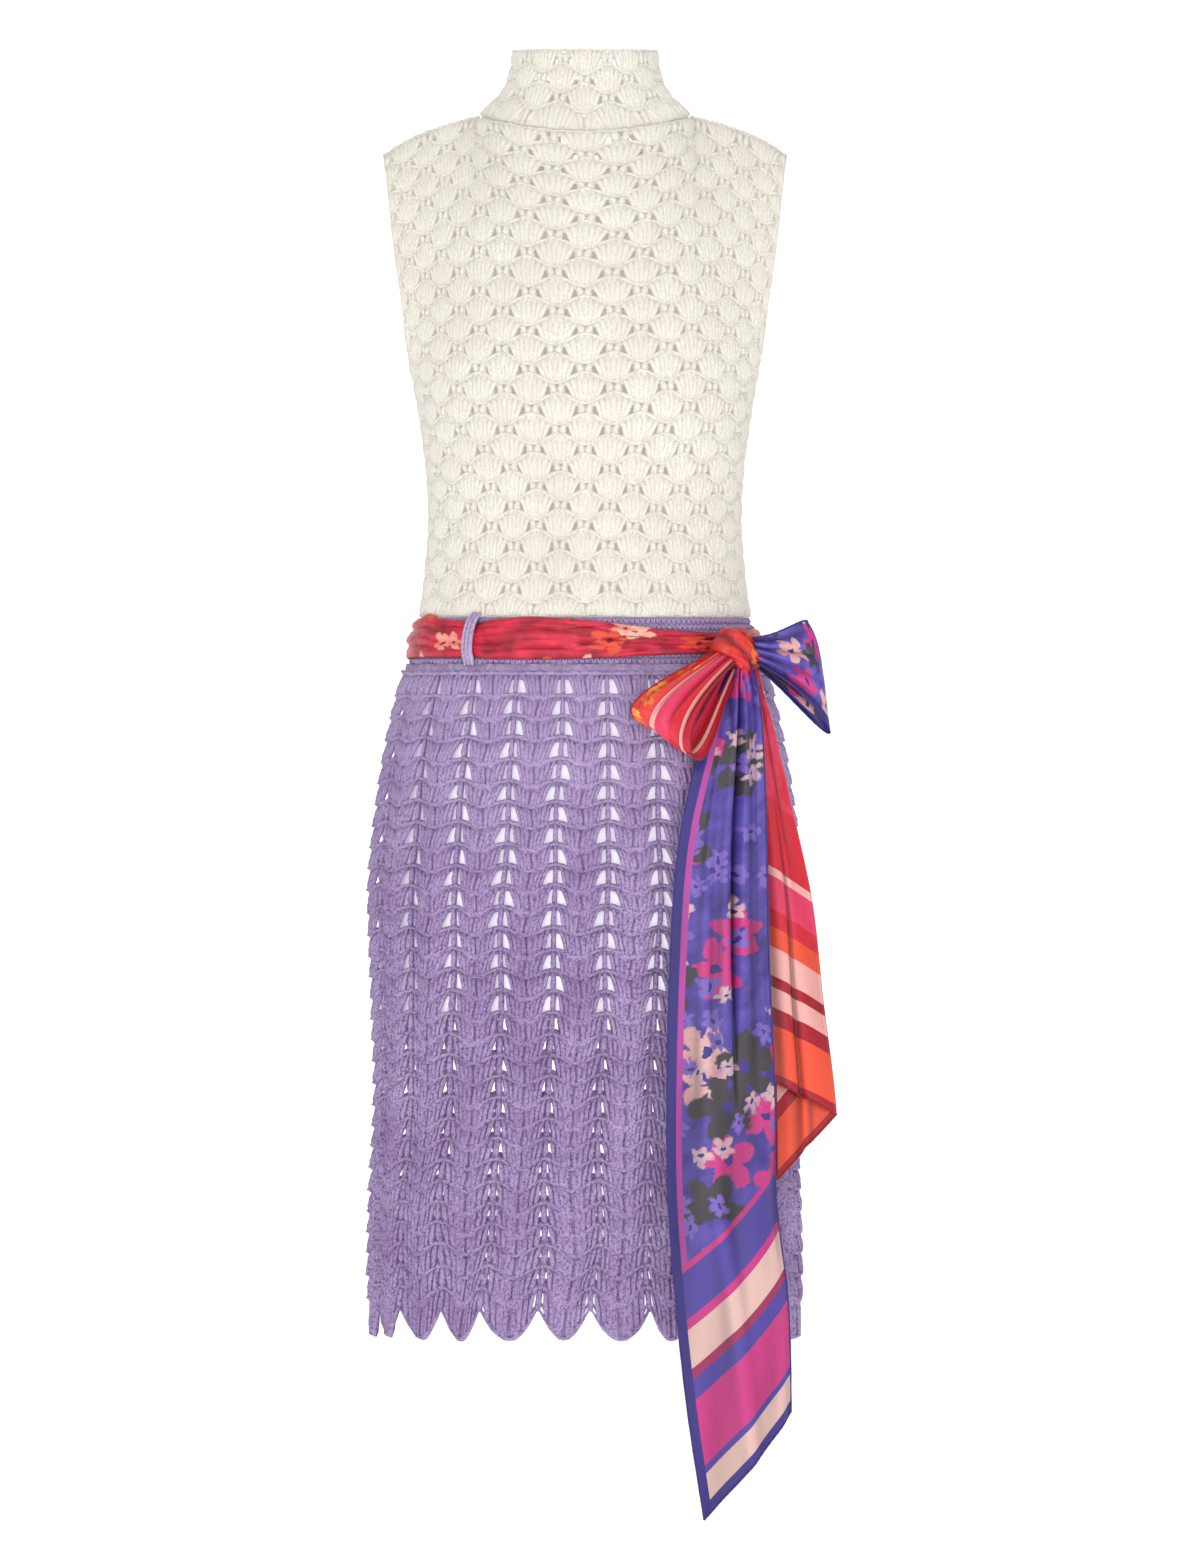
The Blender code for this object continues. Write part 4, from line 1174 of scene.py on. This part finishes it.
# %% The folds of the long tail
def long_folds(u, fall, height, slow):
    """How far the silk stands out from the straight line between its edges."""
    lift = 0.0052 + slow * (0.5 * np.sin(math.pi * u) + 0.35 * np.sin(3 * math.pi * u + 4 * height))
    lift += 0.0030 * np.exp(-fall / 0.13) * ridge(3.2 * u + 0.15)
    middle = 0.625 - 0.27 * np.exp(-fall / 0.035)
    fading = np.clip((0.360 - fall) / 0.12, 0, 1)
    lift -= 0.0095 * fading * hump(u, middle, 0.026)
    lift += 0.0062 * fading * hump(u, middle + 0.105, 0.066)
    lift += 0.0042 * fading * hump(u, middle - 0.085, 0.050)
    lift += 0.0022 * hump(u, 0.24 + 0.1 * np.sin(5 * fall), 0.045) * np.clip(1.6 - fall / 0.3, 0, 1)
    lift += 0.0022 * hump(u, 0.30 + 0.75 * (fall - 0.25), 0.075) * np.clip(fall / 0.25 - 0.6, 0, 1)
    lift -= 0.0075 * hump(u, 1, 0.075) * np.clip((fall - 0.15) / 0.25, 0, 1)
    return lift + 0.0009 * np.sin(2 * math.pi * 2.3 * u + 21 * fall) * np.clip(fall / 0.3, 0, 1)


# %% The long tail on its surface
def long_tail(u, v):
    foot = LONG_TAIL_END[0] + (LONG_TAIL_END[1] - LONG_TAIL_END[0]) * u
    foot = foot - 0.0060 * np.sin(math.pi * u)
    height = TAIL_START + (foot - TAIL_START) * v
    left_x, left_y, right_x, right_y, slow = smooth_curve(LONG_TAIL, height).T
    lift = long_folds(u, TAIL_START - height, height, slow)
    across_x, across_y = right_x - left_x, right_y - left_y
    wide = np.hypot(across_x, across_y)
    x = left_x + across_x * u + across_y / wide * lift
    y = left_y + across_y * u - across_x / wide * lift
    printed = np.column_stack([np.maximum(wide, 0.055) * u, height, height - foot])
    return np.column_stack([x, y, height]), printed


border = [((0, 0), (0, 1)), ((0, 1), (1, 1)), ((1, 1), (1, 0))]
tail = silk_sheet("tail_long_silk", (64, 200), long_tail, VIOLET_PRINT, HEM_VIOLET, border,
                  "tail_long")

# %% [markdown]
# ## The short tail
# The shorter end hangs behind the long one, folded once down its length, so that two layers show at its
# outer edge. It is one sheet too: u runs along the layer in front, round the fold and back along the layer
# behind. Two separate sheets would be simpler, but the fold's round edge would be missing.

# %% Sizes of the short tail
SHORT_TAIL = (  # height, fold x and y, width before and behind the fold, gap between the layers
    (-0.4200, 0.1340, -0.0640, 0.0150, 0.0120, 0.0030),
    (-0.4430, 0.1385, -0.0650, 0.0180, 0.0150, 0.0034),
    (-0.4664, 0.1455, -0.0655, 0.0210, 0.0180, 0.0036),
    (-0.5290, 0.1600, -0.0620, 0.0320, 0.0260, 0.0040),
    (-0.6070, 0.1770, -0.0580, 0.0470, 0.0360, 0.0044),
    (-0.6850, 0.1860, -0.0560, 0.0540, 0.0430, 0.0046),
    (-0.7630, 0.1955, -0.0560, 0.0600, 0.0500, 0.0046),
    (-0.8300, 0.1990, -0.0560, 0.0620, 0.0530, 0.0044),
)
SHORT_TAIL_END = (-0.7450, -0.7740, -0.8250)  # level at the inner edge, at the fold and at the edge behind
SHORT_WAY = (0.914, 0.407)  # how far a step from the fold goes towards -X and towards the front
print(f"short tail: {1000 * (TAIL_START - SHORT_TAIL_END[2]):.0f} mm long")

# %% The folds of the short tail
def short_folds(off, fall):
    """How far the layer in front stands out, for a distance from the fold of 0 to 1."""
    open_share = np.clip(fall / 0.2 - 0.5, 0, 1)
    pleat = 0.0024 * np.exp(-fall / 0.12) * ridge(2.2 * off + 0.2)
    pleat -= 0.0055 * hump(off, 0.50, 0.06) * open_share
    pleat += 0.0035 * hump(off, 0.66, 0.10) * open_share
    return pleat + 0.0012 * np.sin(8 * off + 17 * fall) * np.clip(fall / 0.2, 0, 1)


# %% The short tail on its surface
def short_tail(u, v):
    foot = np.interp(u, (0, 0.5, 1), SHORT_TAIL_END)
    height = TAIL_START + (foot - TAIL_START) * v
    fold_x, fold_y, before, behind, gap = smooth_curve(SHORT_TAIL, height).T
    off = 2 * u - 1
    wide = np.where(off < 0, before, behind) * np.abs(off)
    side = -np.sign(off) * np.minimum(1, np.sqrt(np.abs(off) * 3))
    bow = 0.0025 * np.sin(math.pi * np.minimum(np.abs(off), 1)) * np.where(off < 0, 1, -0.4)
    pleat = short_folds(np.abs(off), TAIL_START - height)
    lift = 0.5 * gap * side + bow + np.where(off < 0, pleat, 0.4 * pleat)
    x = fold_x - SHORT_WAY[0] * wide + SHORT_WAY[1] * lift
    y = fold_y - SHORT_WAY[1] * wide - SHORT_WAY[0] * lift
    return np.column_stack([x, y, height]), np.column_stack([0.12 * u, height, height - foot])


border = [((0, 0), (0, 1)), ((0, 1), (0.5, 1)), ((0.5, 1), (1, 1)), ((1, 1), (1, 0))]
tail = silk_sheet("tail_short_silk", (64, 110), short_tail, RED_PRINT, HEM_RED, border,
                  "tail_short")

# %% [markdown]
# ## The bow
# Each loop of the bow is a stretch of the scarf that runs out from the knot, turns, and comes back behind.
# So it is one sheet again, wide and puffed in the middle and gathered at both ends. The knot is the turn
# of cloth that holds them, a closed lump with uneven pleats. It could be a tied ribbon of cloth, but its
# inside never shows.

# %% Sizes of the bow
KNOT_AT = np.array((0.1205, -0.0800, -0.4090))
KNOT_OUT = np.array((0.669, -0.743, 0.0))
LEFT_LOOP = {
    "turn": (-0.0600, -0.0520, -0.0735), "across": (-0.800, 0.280, 0.540), "root": 0.0085, "width": 0.0300,
    "swell": 0.0200, "slip": 0.0170, "lean": 0.0, "corner": 0.0,
}
RIGHT_LOOP = {
    "turn": (0.0645, 0.0120, -0.0260), "across": (-0.060, 0.0, 1.0), "root": 0.0080, "width": 0.0400,
    "swell": 0.0165, "slip": 0.0100, "lean": -0.04, "corner": 0.12,
}
print("loops reach", [round(1000 * float(np.linalg.norm(s["turn"]))) for s in (LEFT_LOOP, RIGHT_LOOP)], "mm")

# %% A loop of the bow
def bow_loop(shape, side):
    turn, across_way = np.array(shape["turn"]), np.array(shape["across"])
    way = turn / np.linalg.norm(turn)
    across_way = across_way / np.linalg.norm(across_way)
    outwards = np.cross(way, across_way)
    outwards /= np.linalg.norm(outwards) * (1 if outwards @ KNOT_OUT > 0 else -1)

    def surface(u, v):
        """V runs out on the front layer, round the turn and back on the layer behind."""
        q = side * (2 * u - 1)
        angle = math.pi * (0.03 + 0.94 * v)
        bulge = np.sin(angle)
        width = shape["root"] + (shape["width"] - shape["root"]) * bulge**1.3
        puff = shape["swell"] * np.cos(angle) * bulge**0.55 * (1 - 0.28 * q * q)
        pleat = 0.0030 * ridge(1.9 * q + 0.3 + 0.2 * np.cos(angle)) * (1 - bulge**3)
        pleat = pleat + 0.0012 * np.sin(5 * q + 6 * v) * bulge
        out = puff + 0.0035 * bulge + pleat * np.where(v < 0.5, 1, -1) + 0.0015
        slip = shape["slip"] * np.cos(angle) * bulge
        stretch = bulge**0.75 * (1 + shape["lean"] * q - shape["corner"] * np.maximum(q, 0) ** 4)
        placed = KNOT_AT + stretch[:, None] * turn + (width * q + slip)[:, None] * across_way
        return placed + out[:, None] * outwards, np.column_stack([0.075 * u, 0.19 * v, 0 * u + 1])

    return surface


# %% The two bow loops
for name, shape, side, finish, hem, slot, cut in (
    ("bow_loop_left", LEFT_LOOP, -1, RED_LOOP, HEM_RED, "red_silk", (0.058, 0.172)),
    ("bow_loop_right", RIGHT_LOOP, 1, VIOLET_BLOOM, HEM_VIOLET, "violet_silk", (0.062, 0.120)),
):
    border = [((0, 0), (0, 1)), ((1, 0), (1, 1))]
    loop = silk_sheet(name + "_silk", (34, 90), bow_loop(shape, side), finish, hem, border, name)

# %% The pleats of the knot
KNOT_TILT = math.radians(-38)  # the turn of cloth runs from upper left to lower right
KNOT_SIZE = (0.0225, 0.0150, 0.0190)
KNOT_MOVE = (-0.0035, 0, -0.0045)


def along_and_over(x, z):
    """Places along the turn of cloth and across its pleats."""
    along = x * math.cos(KNOT_TILT) + z * math.sin(KNOT_TILT)
    return along, z * math.cos(KNOT_TILT) - x * math.sin(KNOT_TILT)


def main_pleat(along, over):
    return ridge(1.45 * over + 0.28 * along + 0.2)


def knotted(x, y, z):
    """Moves the points of a ball into the knot, which has three uneven pleats."""
    along, over = along_and_over(x, z)
    crease = 0.130 * main_pleat(along, over) + 0.060 * ridge(3.4 * over - 0.5 * along)
    full = 1 + crease * (0.35 + 0.65 * np.clip(y + 0.4, 0, 1))
    a, b = along * full, over * full * (1 - 0.16 * hump(along, 0.1, 0.5))
    flat_x = (a * math.cos(KNOT_TILT) - b * math.sin(KNOT_TILT)) * KNOT_SIZE[0]
    flat_y = np.maximum(y * full, -0.62) * KNOT_SIZE[1]
    flat_z = (a * math.sin(KNOT_TILT) + b * math.cos(KNOT_TILT)) * KNOT_SIZE[2]
    side_way = np.cross(KNOT_OUT, (0, 0, -1))
    side_way /= np.linalg.norm(side_way)
    side_way *= 1 if side_way[0] > 0 else -1
    placed = KNOT_AT + KNOT_MOVE + flat_x[:, None] * side_way + flat_y[:, None] * KNOT_OUT
    return placed + flat_z[:, None] * np.array((0, 0, 1))


# %% The knot
lump = bmesh.new()
bmesh.ops.create_uvsphere(lump, u_segments=64, v_segments=40, radius=1.0)
sash_knot = joined("sash_knot_silk", [as_mesh(lump, "knot")], ORANGE_KNOT)
x, y, z = flat_places(sash_knot)
# painted shade in the knot's pleats and a little painted highlight on their crests, for the finish to read as
# "fold"
folds = np.clip(1.3 * main_pleat(*along_and_over(x, z)) - 0.1, -1, 0.5)
printed_on(sash_knot, np.column_stack([x, y, z]) * 0.02, folds)
bent(sash_knot, knotted)
fixed = bmesh.new()
fixed.from_mesh(sash_knot.data)
fixed.normal_update()
bmesh.ops.recalc_face_normals(fixed, faces=fixed.faces[:])
fixed.to_mesh(sash_knot.data)
fixed.free()
dressed([sash_knot], "sash_knot")
print("knot at", KNOT_AT)

# %% [markdown]
# ## Belt loops
# A belt loop is a few chains of crochet side by side, sewn above and below the belt. Each is three lengths
# of yarn that swell and narrow from stitch to stitch, over a narrow ground strip. One wider tube would be
# quicker, but the furrows between the chains would be lost. Only the front one shows, and the two behind
# are guesses.

# %% The way of a belt loop
LOOP_PATH = (  # share of the way, drop below the belt's top, lift off the dress, lean sideways
    (0.00, -0.0026, 0.0030, 0.0000),
    (0.12, 0.0012, 0.0072, 0.0000),
    (0.28, 0.0062, 0.0100, -0.0001),
    (0.55, 0.0175, 0.0108, -0.0003),
    (0.78, 0.0285, 0.0100, 0.0000),
    (0.92, 0.0345, 0.0070, 0.0004),
    (1.00, 0.0380, 0.0030, 0.0000),
)
LOOP_WIDTH = 0.0096
WAIST_ROUND = 0.80
LOOPS = (("belt_loop_front", FRONT_LOOP_SHARE), ("belt_loop_back_a", 0.865), ("belt_loop_back_b", 0.635))


def loop_surface(around):
    """Places on one belt loop, from its upper end to its lower one."""

    def surface(u, v):
        drop, lift, lean = smooth_curve(LOOP_PATH, v).T
        share = around + ((u - 0.5) * LOOP_WIDTH + 3 * lean) / WAIST_ROUND
        return AROUND_FORM.place(share, -BELT_TOP + drop, lift)

    return surface


print("belt loops:", len(LOOPS))

# %% The yarn and the ground of a belt loop
def belt_loop(node, around):
    surface = loop_surface(around)
    work = bmesh.new()
    t = np.linspace(0, 1, 31)
    for u in (0.16, 0.5, 0.84):
        radii = [0.0015 * (1 + 0.16 * (-1) ** (k + int(u * 2))) for k in range(len(t))]
        yarn(work, surface(0 * t + u, t), radii)
    yarns = joined(node + "_stitches", [as_mesh(work, node, outwards=True)], PALE_LILAC)
    strip = bmesh.new()
    bmesh.ops.create_grid(strip, x_segments=2, y_segments=24, size=0.5)
    ground = joined(node + "_ground", [as_mesh(strip, node)], PALE_LILAC)
    thickened(bent(ground, lambda x, y, z: surface(x + 0.5, 0.5 - y)), GROUND, -1)
    dressed((yarns, ground), node)
    print(f"{node}: {len(yarns.data.polygons)} faces of yarn")


for node, around in LOOPS:
    belt_loop(node, around)

# %% [markdown]
# ## The slip lining
# White cloth shows behind the gaps of the upper skirt, so the dress is given a short slip there. It hangs
# plainly just inside the skirt, so one tube of fine jersey is enough. It could be cut in panels, but no
# seam of it shows. It gives off a little light: a painted glow that lifts the shade inside the skirt, in
# place of the light that comes through thin cloth.

# %% White jersey
jersey = Finish("white_jersey", 0.8, sheen=0.2)
rib_place = jersey.add("ShaderNodeTexCoord").outputs["Object"]
rib = jersey.add("ShaderNodeTexNoise", {"Vector": rib_place, "Scale": 900.0}).outputs["Fac"]
jersey.colour(jersey.mixed(rib, paint("FBF9FD"), paint("EFEAF6")))
jersey.bump(rib, 0.0004, 0.4)
# painted glow, lifting the shade inside the skirt
jersey.shader.inputs["Emission Color"].default_value = paint("F4EFF8")
jersey.shader.inputs["Emission Strength"].default_value = 0.36
print("lining cloth:", jersey.material.name)

# %% Slip lining
LINING_TOP, LINING_FOOT = -0.4200, -0.7000
SIDE_SEAM = 0.0004  # points nearer than this are sewn into one


def slip(x, y, z):
    around, fall = x + 0.5, 0.5 - y
    height = LINING_TOP + (LINING_FOOT - LINING_TOP) * fall
    out = -0.0034 + 0.0008 * fall * np.sin(2 * math.pi * 9 * around + 2 * fall)
    return AROUND_FORM.place(around, -height, out)


tube = bmesh.new()
bmesh.ops.create_grid(tube, x_segments=144, y_segments=24, size=0.5)
lining = bent(joined("skirt_lining_jersey", [as_mesh(tube, "slip")], jersey.material), slip)
seam = bmesh.new()
seam.from_mesh(lining.data)
bmesh.ops.remove_doubles(seam, verts=seam.verts[:], dist=SIDE_SEAM)
seam.to_mesh(lining.data)
seam.free()
thickened(lining, GROUND, -1)
dressed([lining], "skirt_lining")
print("lining: one tube,", len(lining.data.polygons), "faces")

# %% [markdown]
# ## Camera, paper and light
# The dress is shown as in a plain studio: on seamless white paper, in broad soft light, from the height of
# the picture's middle and from far enough away that its lines stay straight. A near camera would bend the
# hem. The paper is one swept sheet that curves up behind the dress, so no corner of the room shows.

# %% Camera
PIXEL = 0.00078  # metres on the dress for each pixel of the photograph
PHOTO = (1200, 1559)
DRESS_AT = (585, 122)  # the pixel of the photograph that lies at the origin
CENTRE = Vector(((PHOTO[0] / 2 - DRESS_AT[0]) * PIXEL, 0, -(PHOTO[1] / 2 - DRESS_AT[1]) * PIXEL))
DISTANCE = 16.0
NEAR = 0.06  # the scale holds at the front of the dress, not at its middle
camera = bpy.data.objects.new("camera", bpy.data.cameras.new("camera"))
bpy.context.scene.collection.objects.link(camera)
camera.location = CENTRE + Vector((0, -DISTANCE, 0))
camera.rotation_euler = (math.radians(90), 0, 0)
camera.data.angle = 2 * math.atan(0.5 * PHOTO[1] * PIXEL / (DISTANCE - NEAR))
bpy.context.scene.camera = camera
bpy.context.scene.view_settings.view_transform = "Standard"
print(f"camera: {math.degrees(camera.data.angle):.2f} degrees from {DISTANCE:.0f} m")

# %% The sweep of the paper
FLOOR = -1.16
WALL = 22.0
SWEEP = 2.0  # radius of the curve between the floor and the wall
paper = bmesh.new()
profile = [paper.verts.new((-20, -24, FLOOR)), paper.verts.new((-20, WALL, FLOOR))]
for k in range(1, 9):
    turn = math.radians(90) * k / 8
    spot = (-20, WALL + SWEEP * math.sin(turn), FLOOR + SWEEP - SWEEP * math.cos(turn))
    profile.append(paper.verts.new(spot))
profile.append(paper.verts.new((-20, WALL + SWEEP, FLOOR + 14)))
edges = [paper.edges.new(pair) for pair in zip(profile, profile[1:])]
swept = bmesh.ops.extrude_edge_only(paper, edges=edges)["geom"]
bmesh.ops.translate(paper, verts=[v for v in swept if isinstance(v, bmesh.types.BMVert)], vec=(40, 0, 0))
paper_mesh = as_mesh(paper, "paper", outwards=True)
paper_mesh.shade_smooth()
print("paper:", len(paper_mesh.polygons), "faces")

# %% White paper
white = Finish("white_paper", 0.9)
white.shader.inputs["Base Color"].default_value = (0.95, 0.95, 0.95, 1)
white.shader.inputs["Emission Color"].default_value = (1, 1, 1, 1)
white.shader.inputs["Emission Strength"].default_value = 0.55
paper_mesh.materials.append(white.material)
backdrop = bpy.data.objects.new("paper", paper_mesh)
bpy.context.scene.collection.objects.link(backdrop)

# %% Soft light
def softbox(name, place, aim, size, power):
    light = bpy.data.objects.new(name, bpy.data.lights.new(name, "AREA"))
    bpy.context.scene.collection.objects.link(light)
    light.location = place
    light.rotation_euler = (Vector(aim) - Vector(place)).to_track_quat("-Z", "Y").to_euler()
    light.data.shape = "RECTANGLE"
    light.data.size, light.data.size_y = size
    light.data.energy = power
    print(f"softbox {name}: {power} watts")


softbox("key", (-0.7, -3.2, 0.3), (0, 0, -0.5), (2.0, 2.0), 36)
softbox("fill", (1.6, -2.6, -0.2), (0, 0, -0.5), (1.6, 2.2), 14)
softbox("top", (0, -0.3, 2.2), (0, 0, -0.5), (2.4, 1.6), 15)
world = bpy.data.worlds.new("studio")
bpy.context.scene.world = world
world.use_nodes = True
world.node_tree.nodes["Background"].inputs[0].default_value = (1, 1, 1, 1)
world.node_tree.nodes["Background"].inputs[1].default_value = 0.50
